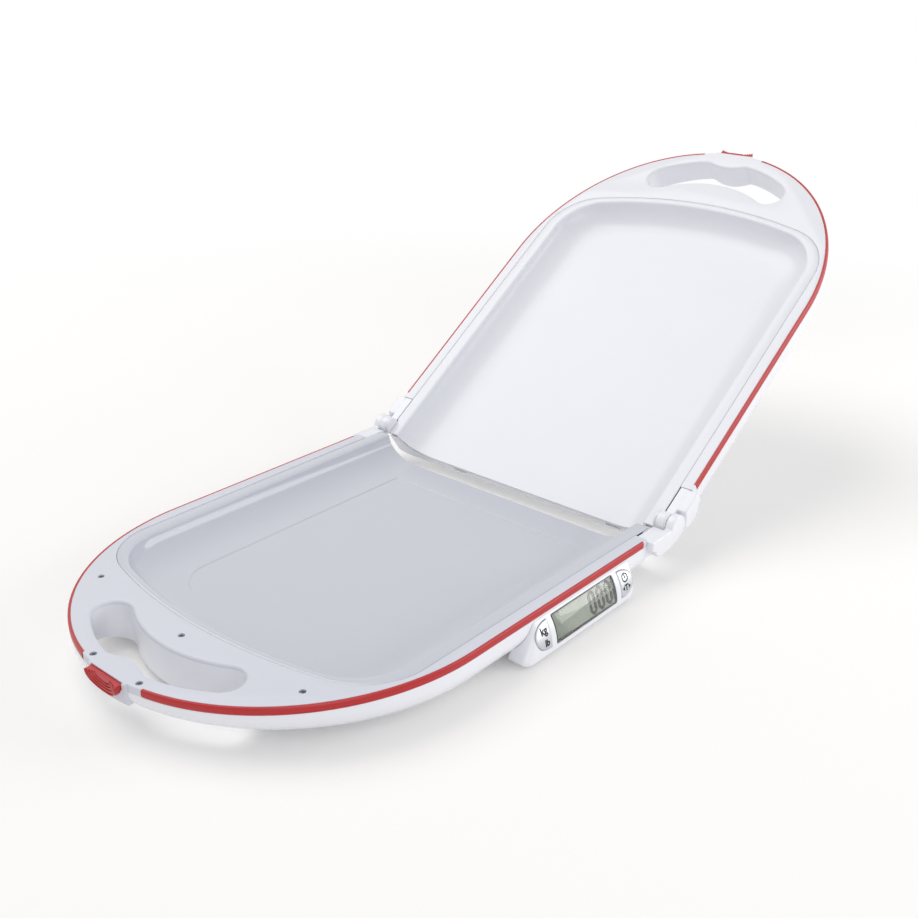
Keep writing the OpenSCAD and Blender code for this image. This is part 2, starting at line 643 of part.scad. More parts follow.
module hinge_pins() color(steel) place_base() both_sides() {
  translate([0, knuckle_in - 0.9, rim_gap]) rotate([-90, 0, 0])
    cylinder(r = pin_r, h = plate_in + 4.8 - knuckle_in + 0.9, $fn = 64);
  translate([0, knuckle_in - 1.9, rim_gap]) rotate([-90, 0, 0]) cylinder(r = pin_r + 1.5, h = 1.6, $fn = 64);
}
module hinge_washers() color(dark) place_base() both_sides() translate([0, washer_in, rim_gap])
  rotate([-90, 0, 0]) difference() {
    cylinder(r = knuckle_r - 0.8, h = washer_t, $fn = 64);
    translate([0, 0, -1]) cylinder(r = pin_r + pin_fit, h = washer_t + 2, $fn = 64);
  }

module display_housing() color(white) place_base() difference() {
  pod_form(0);
  pod_form(pod_t);
  casing(-big, -fit, 2);
  on_face(window_mid) translate([-window_w / 2 - fit, -window_h / 2 - fit, face_r - 8])
    cube([window_w + 2 * fit, window_h + 2 * fit, 12]);
  at_unit_key() translate([0, 0, face_r - 8]) linear_extrude(12) key_outline(seat);
  at_power_key() translate([0, 0, face_r - 8]) linear_extrude(12) key_outline(seat);
}
module display_lens() color([0.62, 0.66, 0.6, 0.5]) place_base() intersection() {
  on_face(window_mid) translate([-window_w / 2, -window_h / 2, face_r - 8]) cube([window_w, window_h, 12]);
  difference() {
    face_roll(face_r - 0.1);
    face_roll(face_r - lens_t);
  }
}
module lcd_panel() color([0.55, 0.6, 0.52]) place_base() on_face(window_mid)
  translate([-window_w / 2 + 0.5, -window_h / 2 + 0.5, board_out]) cube([window_w - 1, window_h - 1, glass_t]);
module main_circuit_board() color("darkgreen") place_base() on_face(window_mid)
  translate([window_mid - board_end, -board_w / 2, board_out - board_t])
    cube([2 * (board_end - window_mid), board_w, board_t]);
module key_switches() color(dark) place_base() {
  at_unit_key() key_switch();
  at_power_key() key_switch();
}
module power_key() color(silver) place_base() at_power_key() key_body();
module unit_key() color(silver) place_base() at_unit_key() key_body();
module base_wiring() color("firebrick") place_base() {
  cell_wires(foot_near + cell_w / 2 + tiny);
  wire([[wire_u, -foot_hy, wire_z], [display_wire_u, -foot_hy - cell_w / 2 - 4, wire_z],
    [display_wire_u, 18 - rim_hw, -22], [display_wire_u - 3, 5.2 - rim_hw, -14],
    [board_end + 4.5, 5.2 - rim_hw, -14.5], [board_end + wire_r + 0.1, -0.4 - rim_hw, -19]]);
}

module battery_cradle() color(dark) place_base() intersection() {
  casing(-big, wall + tiny, 1);
  union() {
    difference() {
      battery_line(cell_r + 1.5, battery_start - 2, battery_end + 2);
      battery_line(cell_r + 0.25, battery_start, battery_end);
      translate([0, cell_y - 20, cell_z - 40]) cube([big, 40, 40]);
    }
    for (u = [battery_start - 2, battery_end]) translate([u, cell_y - cell_r, -shell_h])
      cube([2, 2 * cell_r, shell_h + cell_z]);
  }
}
module battery_contacts() color(steel) place_base() {
  battery_line(5, battery_start + tiny, battery_start + 0.6);
  battery_line(3.4, battery_start + 0.5, battery_start + 3.2);
  battery_line(5, battery_end - 0.6, battery_end - tiny);
}
module batteries() color([0.25, 0.3, 0.45]) place_base() for (i = [0 : battery_n - 1]) {
  from = battery_start + 3.3 + i * battery_l;
  battery_line(cell_r, from, from + battery_l - 1);
  battery_line(2.7, from + battery_l - 1.1, from + battery_l - 0.05);
}
module battery_door() color(white) place_base() intersection() {
  difference() {
    casing(-big, 0, shell_top);
    casing(-big, wall, 1);
  }
  door_space(0);
}

// ---------- lid half ----------
tab_u = 8;
tab_w = 14;
tabs_y = [48, -112];
slots_y = [66, -93];
module lid_shell() color(white) place_lid() difference() {
  union() {
    half_shell(-lid_reach, lid_feet_u);
    for (y = tabs_y) translate([-lid_reach - tab_u, y - tab_w / 2, floor_low - 3.2])
      cube([tab_u + 1, tab_w, 2]);
  }
  knuckle_room();
  for (y = slots_y) translate([-lid_reach - 1, y - 7, floor_low - 3.4]) cube([wall + 2, 14, 2.2]);
}
module lid_deck() color(white) place_lid() half_deck(false);
module lid_tray() color(white) place_lid() difference() {
  half_tray(-lid_reach, false);
  knuckle_room();
}
module lid_trim_band() color(red) place_lid() half_band();
module lid_case_screws() color(steel) place_lid() case_screws();
module lid_load_cells() color(steel) place_lid() load_cells(lid_feet_u);
module lid_feet() color(pale) place_lid() foot_cups(lid_feet_u);
module lid_foot_pads() color(dark) place_lid() foot_pads(lid_feet_u);
module lid_latch_button() color(red) place_lid() latch_button();
module lid_latch_spring() color(steel) place_lid() latch_spring();
module lid_hinge_arms() color(white) place_lid() both_sides() lid_arm();
module lid_wiring() color("firebrick") place_lid() cell_wires(wall);

base_shell();
base_deck();
base_tray();
base_trim_band();
base_deck_screws();
base_case_screws();
base_load_cells();
base_feet();
base_foot_pads();
base_counterweights();
base_latch_button();
base_latch_spring();
base_hinge_arms();
hinge_pins();
hinge_washers();
display_housing();
display_lens();
lcd_panel();
main_circuit_board();
key_switches();
power_key();
unit_key();
base_wiring();
battery_cradle();
battery_contacts();
batteries();
battery_door();
lid_shell();
lid_deck();
lid_tray();
lid_trim_band();
lid_case_screws();
lid_load_cells();
lid_feet();
lid_foot_pads();
lid_latch_button();
lid_latch_spring();
lid_hinge_arms();
lid_wiring();
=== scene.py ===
# Folding digital baby weighing scale, half open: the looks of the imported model.
# Halves are shaped in millimetres in a half frame: x runs from the hinge axis to the tip,
# z = 0 is the rim. Two matrices then put them in the model's own frame, in metres.
import json
import math

import bmesh
import bpy
from mathutils import Matrix, Vector


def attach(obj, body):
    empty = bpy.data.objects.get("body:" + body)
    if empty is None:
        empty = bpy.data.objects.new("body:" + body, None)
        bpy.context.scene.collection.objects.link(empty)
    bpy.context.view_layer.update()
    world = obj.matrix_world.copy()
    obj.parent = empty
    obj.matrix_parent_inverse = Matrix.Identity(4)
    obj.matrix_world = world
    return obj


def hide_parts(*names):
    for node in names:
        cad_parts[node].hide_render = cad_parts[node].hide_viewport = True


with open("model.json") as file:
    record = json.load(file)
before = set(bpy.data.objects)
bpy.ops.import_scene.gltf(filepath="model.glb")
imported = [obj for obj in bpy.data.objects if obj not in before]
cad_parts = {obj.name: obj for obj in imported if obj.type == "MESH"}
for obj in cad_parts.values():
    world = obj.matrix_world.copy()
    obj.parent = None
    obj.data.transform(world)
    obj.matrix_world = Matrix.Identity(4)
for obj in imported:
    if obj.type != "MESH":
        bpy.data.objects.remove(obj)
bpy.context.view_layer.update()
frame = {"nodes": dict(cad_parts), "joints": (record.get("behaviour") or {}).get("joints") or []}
nodes = frame["nodes"]

# ---------- Camera ----------
# The viewing angle: over the near left corner of the base, a little above it. In mm and radians.
MM = 0.001
AZIMUTH, ELEVATION, ROLL = -0.860927, 0.418537, 0.006282
DISTANCE = 970.2
SLIDE_RIGHT, SLIDE_UP = -45.78, 10.32
FOCAL_PIXELS, PHOTO_SIDE, SENSOR = 1177.31, 918, 36.0
hinge = Vector(next(j for j in frame["joints"] if j["name"] == "lid_hinge")["pos_m"]) / MM
LOOK_AT = Vector((hinge.x + 0.8, hinge.y, 32.5))
toward = Vector((math.sin(AZIMUTH) * math.cos(ELEVATION),
                 -math.cos(AZIMUTH) * math.cos(ELEVATION), math.sin(ELEVATION)))
level_right = Vector((math.cos(AZIMUTH), math.sin(AZIMUTH), 0))
level_up = toward.cross(level_right)
right = math.cos(ROLL) * level_right + math.sin(ROLL) * level_up
up = math.cos(ROLL) * level_up - math.sin(ROLL) * level_right
camera = bpy.data.objects.new("camera", bpy.data.cameras.new("camera"))
bpy.context.scene.collection.objects.link(camera)
axes = Matrix((right, up, toward)).transposed().to_4x4()
place = LOOK_AT + DISTANCE * toward + SLIDE_RIGHT * right + SLIDE_UP * up
camera.matrix_world = Matrix.Translation(place * MM) @ axes
camera.data.sensor_width = SENSOR
camera.data.lens = SENSOR * FOCAL_PIXELS / PHOTO_SIDE
camera.data.clip_start, camera.data.clip_end = 0.05, 50
bpy.context.scene.camera = camera


# ---------- Plain studio ----------
# White paper below and all round, a broad key lamp high behind, a low fill lamp in front and a
# softbox at the display's side. The floor shows white to the camera and keeps the shadow.
def linear(colour, alpha=1.0):
    """An sRGB hex colour as the linear numbers that a shader takes."""
    parts = [int(colour[i:i + 2], 16) / 255 for i in (1, 3, 5)]
    return (*[c / 12.92 if c <= 0.04045 else ((c + 0.055) / 1.055) ** 2.4 for c in parts], alpha)


def add(tree, kind, links=None, **settings):
    """Adds a shader node with its settings. An input takes a value, a socket or a node's first output."""
    made = tree.nodes.new("ShaderNode" + kind)
    for name, value in settings.items():
        setattr(made, name, value)
    for name, value in (links or {}).items():
        if isinstance(value, bpy.types.Node):
            value = value.outputs[0]
        if isinstance(value, bpy.types.NodeSocket):
            tree.links.new(value, made.inputs[name])
        else:
            made.inputs[name].default_value = value
    return made


def material(name):
    """A new material: itself, its tree of nodes and the place on the piece."""
    made = bpy.data.materials.new(name)
    made.use_nodes = True
    made.node_tree.nodes.clear()
    return made, made.node_tree, add(made.node_tree, "TexCoord").outputs["Object"]


def seen_directly(tree):
    """1 for what the camera sees, also in metal and through glass."""
    rays = add(tree, "LightPath")
    mirrored = add(tree, "Math", {0: rays.outputs["Is Camera Ray"], 1: rays.outputs["Is Glossy Ray"]},
                   operation="MAXIMUM")
    return add(tree, "Math", {0: mirrored, 1: rays.outputs["Is Transmission Ray"]}, operation="MAXIMUM")


FLOOR_SIDE, PAPER_LIFT, WHITE_FROM, WHITE_TO = 30.0, 0.13, 0.5, 1.1
WHITE = (1, 1, 1, 1)


def white_paper():
    paper, tree, spot = material("paper_sweep")
    lit = add(tree, "BsdfDiffuse", {"Color": linear("#f6f5f3")})
    lift = add(tree, "Emission", {"Color": WHITE, "Strength": PAPER_LIFT})
    near = add(tree, "AddShader", {0: lit, 1: lift})
    white = add(tree, "Emission", {"Color": WHITE, "Strength": 1.0})
    away = add(tree, "VectorMath", {0: spot}, operation="LENGTH")
    fade = add(tree, "MapRange", {"Value": away.outputs["Value"], "From Min": WHITE_FROM,
                                  "From Max": WHITE_TO}, interpolation_type="SMOOTHSTEP")
    shown = add(tree, "MixShader", {0: fade, 1: near, 2: white})
    add(tree, "OutputMaterial",
        {"Surface": add(tree, "MixShader", {0: seen_directly(tree), 1: lit, 2: shown})})
    return paper


bm = bmesh.new()
bmesh.ops.create_grid(bm, x_segments=1, y_segments=1, size=FLOOR_SIDE / 2)
mesh = bpy.data.meshes.new("floor")
bm.to_mesh(mesh)
bm.free()
floor = bpy.data.objects.new("floor", mesh)
bpy.context.scene.collection.objects.link(floor)
mesh.materials.append(white_paper())

world = bpy.data.worlds.new("studio")
bpy.context.scene.world = world
world.use_nodes = True
tree = world.node_tree
tree.nodes.clear()
WORLD_LIGHT = 0.48
soft = add(tree, "Background", {"Color": (0.97, 0.98, 1.0, 1), "Strength": WORLD_LIGHT})
white = add(tree, "Background", {"Color": WHITE, "Strength": 1.0})
add(tree, "OutputWorld", {"Surface": add(tree, "MixShader", {0: seen_directly(tree), 1: soft, 2: white})})


def lamp(name, at, size, watts, colour=(1, 1, 1)):
    made = bpy.data.objects.new(name, bpy.data.lights.new(name, "AREA"))
    made.data.size, made.data.energy, made.data.color = size, watts, colour
    made.location = at
    made.rotation_euler = (Vector((0, 0, 0.1)) - Vector(at)).to_track_quat("-Z", "Y").to_euler()
    bpy.context.scene.collection.objects.link(made)


lamp("key_lamp", (-0.3, 1.3, 2.2), 2.2, 31, (1, 0.985, 0.96))
lamp("fill_lamp", (-1.2, -1.7, 0.7), 1.2, 8, (0.97, 0.98, 1))
lamp("side_softbox", (1.0, -1.2, 0.5), 1.0, 9, (1, 0.99, 0.97))
bpy.context.scene.view_settings.view_transform = "Standard"


# ---------- Finishes ----------
# Injection moulded ABS: an even colour with the faint clouding of the melt, a gloss that
# varies a little, and the shallow waviness that large mouldings have.
def plastic(name, colour, roughness, grain_mm, bump, coat=0.0, cloud=0.03):
    made, tree, spot = material(name)
    clouds = add(tree, "TexNoise", {"Vector": spot, "Scale": 1 / (40 * MM), "Detail": 3.0})
    grain = add(tree, "TexNoise", {"Vector": spot, "Scale": 1 / (grain_mm * MM), "Detail": 2.0})
    waves = add(tree, "TexNoise", {"Vector": spot, "Scale": 1 / (60 * MM), "Detail": 1.0})
    base = Vector(linear(colour)[:3])
    dark = base * (1 - cloud)
    tint = add(tree, "MixRGB", {0: clouds, 1: (*dark, 1), 2: (*base, 1)})
    gloss = add(tree, "MapRange", {"Value": grain, "To Min": roughness * 0.8,
                                   "To Max": roughness * 1.2})
    fine = add(tree, "Bump", {"Height": grain, "Strength": bump, "Distance": 0.05 * MM})
    broad = add(tree, "Bump", {"Height": waves, "Strength": 0.25, "Distance": 0.3 * MM,
                               "Normal": fine})
    skin = add(tree, "BsdfPrincipled", {"Base Color": tint, "Roughness": gloss,
                                        "Normal": broad, "IOR": 1.53, "Coat Weight": coat,
                                        "Coat Roughness": 0.08})
    add(tree, "OutputMaterial", {"Surface": skin})
    return made


WHITE_ABS = plastic("white_abs_gloss", "#f3f4fa", 0.24, 0.6, 0.05, coat=0.3)
LID_ABS = plastic("white_abs_lid", "#eff0f6", 0.32, 0.6, 0.06, coat=0.15)
# The base's tray and deck are greyer than the same mouldings on the lid: that grey is painted shade.
TRAY_ABS_PAINTED_SHADE = plastic("white_abs_tray_painted_shade", "#cdd0d9", 0.16, 0.6, 0.04, coat=0.2)
DECK_ABS_PAINTED_SHADE = plastic("white_abs_satin_painted_shade", "#dadce6", 0.42, 0.45, 0.2)
RED_ABS = plastic("red_abs_gloss", "#bc1219", 0.36, 0.6, 0.05, cloud=0.06)
GREY_ABS = plastic("light_grey_abs", "#c9ccd4", 0.4, 0.5, 0.15)
SHADE_ABS = plastic("dark_abs", "#2b2c30", 0.5, 0.4, 0.2)
RUBBER = plastic("moulded_rubber", "#55575c", 0.75, 0.5, 0.4, cloud=0.12)


# ---------- Shaping ----------
# Outlines are drawn as runs of edges with lines and arcs, and joined into skins.
def points_of(geom):
    return [g for g in geom if isinstance(g, bmesh.types.BMVert)]


def run(bm, z, start, *steps, bend=None):
    """Draws a run of edges. A step is a line to (x, y), or a swing about x, y of some degrees in
    some parts. bend then moves each new point. Gives both ends."""
    known = set(bm.verts)
    first = last = bm.verts.new((*start, z))
    for x, y, *swing in steps:
        if swing:
            turn = bmesh.ops.spin(bm, geom=[last], cent=(x, y, z), axis=(0, 0, 1),
                                  angle=math.radians(swing[0]), steps=swing[1], use_merge=False)
            last = points_of(turn["geom_last"])[0]
        else:
            last = bmesh.ops.extrude_vert_indiv(bm, verts=[last])["verts"][0]
            last.co = (x, y, z)
    if bend:
        for v in set(bm.verts) - known:
            bend(v.co)
    return first, last


def outline(bm, draw, *sizes, closed=True):
    """Draws an outline and gives its edges."""
    known = set(bm.edges)
    first, last = draw(bm, *sizes)
    if closed:
        bm.edges.new((last, first))
    return [e for e in bm.edges if e not in known]


def merged(bm, near=0.002):
    bmesh.ops.remove_doubles(bm, verts=bm.verts, dist=near)
    return bm


def faced(bm):
    """Turns all faces outwards."""
    bmesh.ops.recalc_face_normals(bm, faces=bm.faces)
    return bm


def shift(x, y, z=0):
    return Matrix.Translation((x, y, z))


def moved(bm, *matrices):
    for matrix in matrices:
        bmesh.ops.transform(bm, matrix=matrix, verts=bm.verts)
    return bm


def open_edges(bm):
    return [e for e in bm.edges if len(e.link_faces) == 1]


def filled(bm):
    bmesh.ops.edgeloop_fill(bm, edges=open_edges(bm))
    return bm


def cut_off(bm, at, facing):
    """Takes away what lies beyond a plane, and closes the cut."""
    bmesh.ops.bisect_plane(bm, geom=bm.verts[:] + bm.edges[:] + bm.faces[:], plane_co=at,
                           plane_no=facing, clear_outer=True)
    return filled(bm)


def raised(bm, height):
    """Gives a flat form its thickness."""
    top = bmesh.ops.extrude_face_region(bm, geom=bm.faces[:])["geom"]
    bmesh.ops.translate(bm, vec=(0, 0, height), verts=points_of(top))
    return bm


def loft(rings, closed=True, caps=(0, -1)):
    """A skin through outlines that each have the same number of points. A ring is (draw, sizes...)."""
    bm = bmesh.new()
    runs = [outline(bm, *ring, closed=closed) for ring in rings]
    for low, high in zip(runs, runs[1:]):
        bmesh.ops.bridge_loops(bm, edges=low + high)
    for cap in caps:
        bmesh.ops.contextual_create(bm, geom=runs[cap])
    return faced(merged(bm))


def prism(draw, sizes, low, high):
    return loft([(draw, low, *sizes), (draw, high, *sizes)])


def block(x0, x1, y0, y1, z0, z1):
    bm = bmesh.new()
    bmesh.ops.create_cube(bm, size=1)
    bmesh.ops.scale(bm, vec=(x1 - x0, y1 - y0, z1 - z0), verts=bm.verts)
    return moved(bm, shift((x0 + x1) / 2, (y0 + y1) / 2, (z0 + z1) / 2))


def turned(profile, steps=64, centre=(0, 0)):
    """A closed round piece from a profile of (radius, height) points, its ends on the axis."""
    bm = bmesh.new()
    last = bm.verts.new((profile[0][0], 0, profile[0][1]))
    for radius, height in profile[1:]:
        last = bmesh.ops.extrude_vert_indiv(bm, verts=[last])["verts"][0]
        last.co = (radius, 0, height)
    bmesh.ops.spin(bm, geom=bm.verts[:] + bm.edges[:], cent=(0, 0, 0), axis=(0, 0, 1),
                   angle=math.tau, steps=steps, use_merge=True)
    return moved(faced(merged(bm)), shift(*centre))


def rod(radius, low, high, steps=64, centre=(0, 0)):
    return turned([(0, low), (radius, low), (radius, high), (0, high)], steps, centre)


def join(*parts):
    whole = bmesh.new()
    for part in parts:
        mesh = bpy.data.meshes.new("work")
        part.to_mesh(mesh)
        part.free()
        whole.from_mesh(mesh)
        bpy.data.meshes.remove(mesh)
    return whole


def combine(bm, tool, how="DIFFERENCE", crossing=False):
    """Cuts a closed form with another, joins them or keeps what they share. crossing is for
    a form whose own faces cross."""
    work = []
    for source in (bm, tool):
        mesh = bpy.data.meshes.new("work")
        source.to_mesh(mesh)
        source.free()
        work.append(bpy.data.objects.new("work", mesh))
        bpy.context.scene.collection.objects.link(work[-1])
    change = work[0].modifiers.new("work", "BOOLEAN")
    change.operation, change.object, change.solver, change.use_self = how, work[1], "EXACT", crossing
    bpy.context.view_layer.update()
    result = bmesh.new()
    shown = work[0].evaluated_get(bpy.context.evaluated_depsgraph_get())
    result.from_mesh(shown.to_mesh())
    shown.to_mesh_clear()
    for obj in work:
        mesh = obj.data
        bpy.data.objects.remove(obj)
        bpy.data.meshes.remove(mesh)
    return result
def carved(bm, *tools):
    for tool in tools:
        bm = combine(bm, tool)
    return bm
def both_sides(bm):
    """A second copy on the other side of the middle plane."""
    other = bm.copy()
    bmesh.ops.scale(other, vec=(1, -1, 1), verts=other.verts)
    bmesh.ops.reverse_faces(other, faces=other.faces)
    return join(bm, other)


def piece(name, bm, place, body, finish, stands_for=(), edge=0.0, smooth=32):
    """Puts a shape in its place as a finished piece. edge is the radius of its moulded edges, in mm."""
    moved(merged(bm), place)
    mesh = bpy.data.meshes.new(name)
    bm.to_mesh(mesh)
    bm.free()
    made = bpy.data.objects.new(name, mesh)
    bpy.context.scene.collection.objects.link(made)
    mesh.materials.append(finish)
    mesh.shade_smooth()
    if edge:
        soften = made.modifiers.new("moulded_edges", "BEVEL")
        soften.width, soften.segments = edge * MM, 3
        soften.limit_method, soften.angle_limit = "ANGLE", math.radians(smooth)
        soften.harden_normals, soften.use_clamp_overlap = True, False
    else:
        mesh.set_sharp_from_angle(angle=math.radians(smooth))
    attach(made, body)
    if stands_for:
        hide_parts(*stands_for)
    return made


RIM_HEIGHT, AXIS_ABOVE_RIM, LID_TILT = 35.0, 0.4, 33.3
AT_BASE = Matrix.Scale(MM, 4) @ shift(hinge.x, hinge.y, RIM_HEIGHT) @ Matrix.Rotation(math.pi, 4, "Z")
AT_LID = (Matrix.Scale(MM, 4) @ shift(*hinge) @ Matrix.Rotation(-math.radians(LID_TILT), 4, "Y")
          @ shift(0, 0, -AXIS_ABOVE_RIM))
HALVES = (("base", AT_BASE), ("lid", AT_LID))

# ---------- Lower casings ----------
# One white ABS shell under each half: straight sides that round in below, a shallow spoon
# end, and a lining that carries the hand hole through. The casing stops short of the arms.
STRAIGHT, HALF_LENGTH, HALF_WIDTH = 228.0, 390.0, 150.0
NECK, ARM_END, WALL = 139.5, 33.0, 2.5
CASING_TOP, CASING_LOW, CASING_IN = -5.3, -30.0, 0.2
SIDE_FROM, SIDE_RUN, END_FROM, END_RUN = 12.0, 26.0, 8.0, 60.0


def half_outline(bm, z, start, width, length, neck=None):
    """Straight sides and a half-ellipse end. A neck narrows it beside the hinge arms."""
    inner = min(width, neck or width)
    near = [(start, -inner), (ARM_END, -inner), (ARM_END, -width)] if neck else [(start, -inner)]

    def stretch(co):
        if co.x > STRAIGHT:
            co.x = STRAIGHT + (co.x - STRAIGHT) * (length - STRAIGHT) / width

    return run(bm, z, *near, (STRAIGHT, -width), (STRAIGHT, 0, 180, 72),
               *[(x, -y) for x, y in reversed(near)], bend=stretch)


def draw_in(depth, start, run):
    """How far the wall has rounded in at a depth."""
    if depth <= start:
        return 0.0
    return run * (1 - math.sqrt(max(0.0, 1 - ((depth - start) / (-CASING_LOW - start)) ** 2)))


CASING_DEPTHS = (5.3, 6.5, 8, 10, 12, 14, 16, 18, 20, 22, 24, 25.7, 27.2, 28.4, 29.3, 29.8, 30)


def casing_form(start, inset, top):
    outer_w, outer_l = HALF_WIDTH - CASING_IN - inset, HALF_LENGTH - CASING_IN - inset
    rings = [(half_outline, top, start, outer_w, outer_l, NECK - inset)]
    for depth in CASING_DEPTHS:
        drop = depth - inset * (depth + CASING_TOP) / (-CASING_LOW + CASING_TOP)
        width = outer_w - draw_in(depth, SIDE_FROM, SIDE_RUN)
        length = outer_l - draw_in(depth, END_FROM, END_RUN)
        rings.append((half_outline, -drop, start, width, length, NECK - inset))
    return loft(rings if top > CASING_TOP else rings[1:])


# The hand hole: two arcs with round ends, and a bump over the latch.
HOLE_NEAR, HOLE_NEAR_R, HOLE_FAR, HOLE_FAR_R, HOLE_END_R = 349.0, 102.4, 377.6, 114.8, 13.1
BUMP, BUMP_HALF = 6.0, 19.0
near_mid, far_mid = HOLE_NEAR - HOLE_NEAR_R, HOLE_FAR - HOLE_FAR_R
near_reach, far_reach = HOLE_NEAR_R + HOLE_END_R, HOLE_FAR_R - HOLE_END_R
end_x = (near_reach ** 2 - far_reach ** 2 + far_mid ** 2 - near_mid ** 2) / (2 * (far_mid - near_mid))
end_y = math.sqrt(far_reach ** 2 - (end_x - far_mid) ** 2)
near_turn = math.degrees(math.atan2(end_y, end_x - near_mid))
far_turn = math.degrees(math.atan2(end_y, end_x - far_mid))


def hole_outline(bm, z, grow):
    start, r, rounding = math.radians(-near_turn), HOLE_NEAR_R - grow, far_turn - near_turn - 180

    def bump(co):
        if (co.x - far_mid) ** 2 + co.y ** 2 > (HOLE_FAR_R - 2) ** 2 and abs(co.y) < BUMP_HALF:
            co.x -= BUMP * (1 - (co.y / BUMP_HALF) ** 2)

    return run(bm, z, (near_mid + r * math.cos(start), r * math.sin(start)), (near_mid, 0, 2 * near_turn, 26),
               (end_x, end_y, rounding, 14), (far_mid, 0, -2 * far_turn, 40), (end_x, -end_y, rounding, 13),
               bend=bump)


# The tray's outline: straight sides, round corners and a bowed end, all tangent.
SEAM_HALF, SEAM_END, TRAY_BOW, TRAY_CORNER = 139.0, 322.0, 400.0, 48.0
LIP, COVE_SIDE, COVE_END, TRAY_DEPTH = 11.0, 33.0, 20.0, 20.5


def tray_outline(bm, z, start, half, end, bow, corner):
    bow_mid, side = end - bow, half - corner
    corner_x = bow_mid + math.sqrt((bow - corner) ** 2 - side ** 2)
    swing = math.degrees(math.atan2(side, corner_x - bow_mid))
    return run(bm, z, (start, -half), (corner_x, -half), (corner_x, -side, 90 - swing, 18),
               (bow_mid, 0, 2 * swing, 24), (corner_x, side, 90 - swing, 18), (start, half))


def seam(z, start, grow):
    return (tray_outline, z, start, SEAM_HALF + grow, SEAM_END + grow, TRAY_BOW + grow, TRAY_CORNER + grow)


def cove(angle, start, grow):
    """One level of the tray's curved wall: 90 degrees at the lip, 0 on the floor."""
    run = 1 - math.sin(math.radians(angle))
    z = -TRAY_DEPTH * math.cos(math.radians(angle)) - grow
    return (tray_outline, z, start, SEAM_HALF - LIP - COVE_SIDE * run + grow,
            SEAM_END - LIP / 2 - COVE_END * run + grow, TRAY_BOW - 10, TRAY_CORNER - 5 - 6 * run)


FOOT_SPOTS = {"base": [(x, y) for x in (36, 258) for y in (-88, 88)],
              "lid": [(258, -88), (258, 88)]}
SCREW_SPOTS = [(x, y) for x in (84, 214) for y in (-58, 58)]
BATTERY_DOOR = (64.0, 222.0, 124.5, 142.5)
GAP = 0.3


def casing(half, start):
    lining = prism(hole_outline, (WALL + GAP,), -60, 20)
    shell = combine(casing_form(start, 0, CASING_TOP), combine(casing_form(start + WALL, WALL, 2), lining))
    shell = combine(shell, prism(hole_outline, (WALL + GAP,), CASING_TOP - 1, -2.5), "UNION")
    trough = [cove(a, -50, WALL + 0.2) for a in (0, 18, 36, 54, 72)]
    trough.append((tray_outline, 10, *cove(90, -50, WALL + 0.2)[2:]))
    feet = [rod(FOOT_HOLE_R, -40, -26, centre=spot) for spot in FOOT_SPOTS[half]]
    screws = [turned([(0, -40), (2.9, -40), (2.9, -28.7), (1.8, -28.7), (1.8, -20), (0, -20)],
                     steps=32, centre=spot) for spot in SCREW_SPOTS]
    return carved(shell, prism(hole_outline, (GAP,), -60, 20), loft(trough), *feet, *screws)


def on_axis(bm):
    """Lays a round form along the hinge axis."""
    return moved(bm, Matrix.Rotation(-math.pi / 2, 4, "X"), shift(0, 0, AXIS_ABOVE_RIM))


def knuckle_room():
    """Space that the hinge knuckles turn in, at both corners of the lid."""
    return both_sides(on_axis(rod(ROOM_R, ROOM_IN, 200)))


def display_back():
    """The way through to the display unit, inside the unit's leaning end."""
    return cut_off(block(*BACK), *BACK_LEAN)


BASE_START, LID_START, FOOT_HOLE_R, ROOM_R, ROOM_IN = 15.0, -6.0, 16.5, 8.5, 137.4
BACK = (62.75, 174.75, 143, 151, -25, -8)
BACK_LEAN = ((174.75, 0, -16.5), (8.5, 0, 6.85))     # a point of the leaning end and where it faces
x0, x1, y0, y1 = BATTERY_DOOR
doorway = block(x0 - GAP, x1 + GAP, y0 - GAP, y1 + GAP, -40, -16)
piece("base_casing", carved(casing("base", BASE_START), doorway, display_back()), AT_BASE, "base",
      WHITE_ABS, ["base_shell"])
slots = [block(-10, -2, y - 7, y + 7, -26.4, -24.2) for y in (66, -93)]
piece("lid_casing", carved(casing("lid", LID_START), knuckle_room(), *slots), AT_LID, "lid",
      WHITE_ABS, ["lid_shell"])

# ---------- Decks ----------
# The flat upper plate of each half, satin on top, with the rim, the handle and a collar
# round the latch. The hand hole has a rolled lip. Five screws hold the base's deck down.
EDGE_T, DECK_T, BAND_T = 0.9, 2.5, 1.8
LATCH_HALF, LATCH_HIGH, LATCH_TOP, LATCH_EDGE = 15.5, 12.0, -1.2, 389.2
COLLAR_HALF, COLLAR_IN, COLLAR_OUT, COLLAR_LOW = 19.0, 380.0, 1.2, -15.2
SCREW_SEAT = -1.4
BAND_START, BAND_GAP, BAND_HIGH, BAND_LOW = 38.0, 30.0, -0.25, -5.2
DECK_SCREWS = [(325.5, 101.5), (325.5, -101.5), (335, 0), (383, 23.5), (383, -23.5)]


ACROSS = Matrix(((0, 0, 1), (1, 0, 0), (0, 1, 0))).to_4x4()     # a form drawn across the half
AT_LATCH = shift(0, 0, LATCH_TOP) @ ACROSS


def tip_block(half):
    """A block over the middle of the tip, for where the bands stop."""
    return block(370, 400, -half, half, -20, 10)


def half_ring(z, inset, start=ARM_END):
    return (half_outline, z, start, HALF_WIDTH - inset, HALF_LENGTH - inset)


def rolled(radius, steps=6):
    """Levels of a cutter that leaves a rounded lip: (height, how far it has opened)."""
    swing = [math.pi / 2 * i / steps for i in range(steps + 1)]
    return [(-radius + radius * math.sin(a), radius * (1 - math.cos(a))) for a in swing]


def latch_opening(bm, x, grow):
    """Half an oval in the tip's end face, flat side up."""
    half = LATCH_HALF + grow

    def flatten(co):
        if co.y < -1e-6:
            co.y *= (LATCH_HIGH + grow) / half

    return run(bm, x, (half, grow), (half, 0), (0, 0, -180, 32), (-half, grow), bend=flatten)


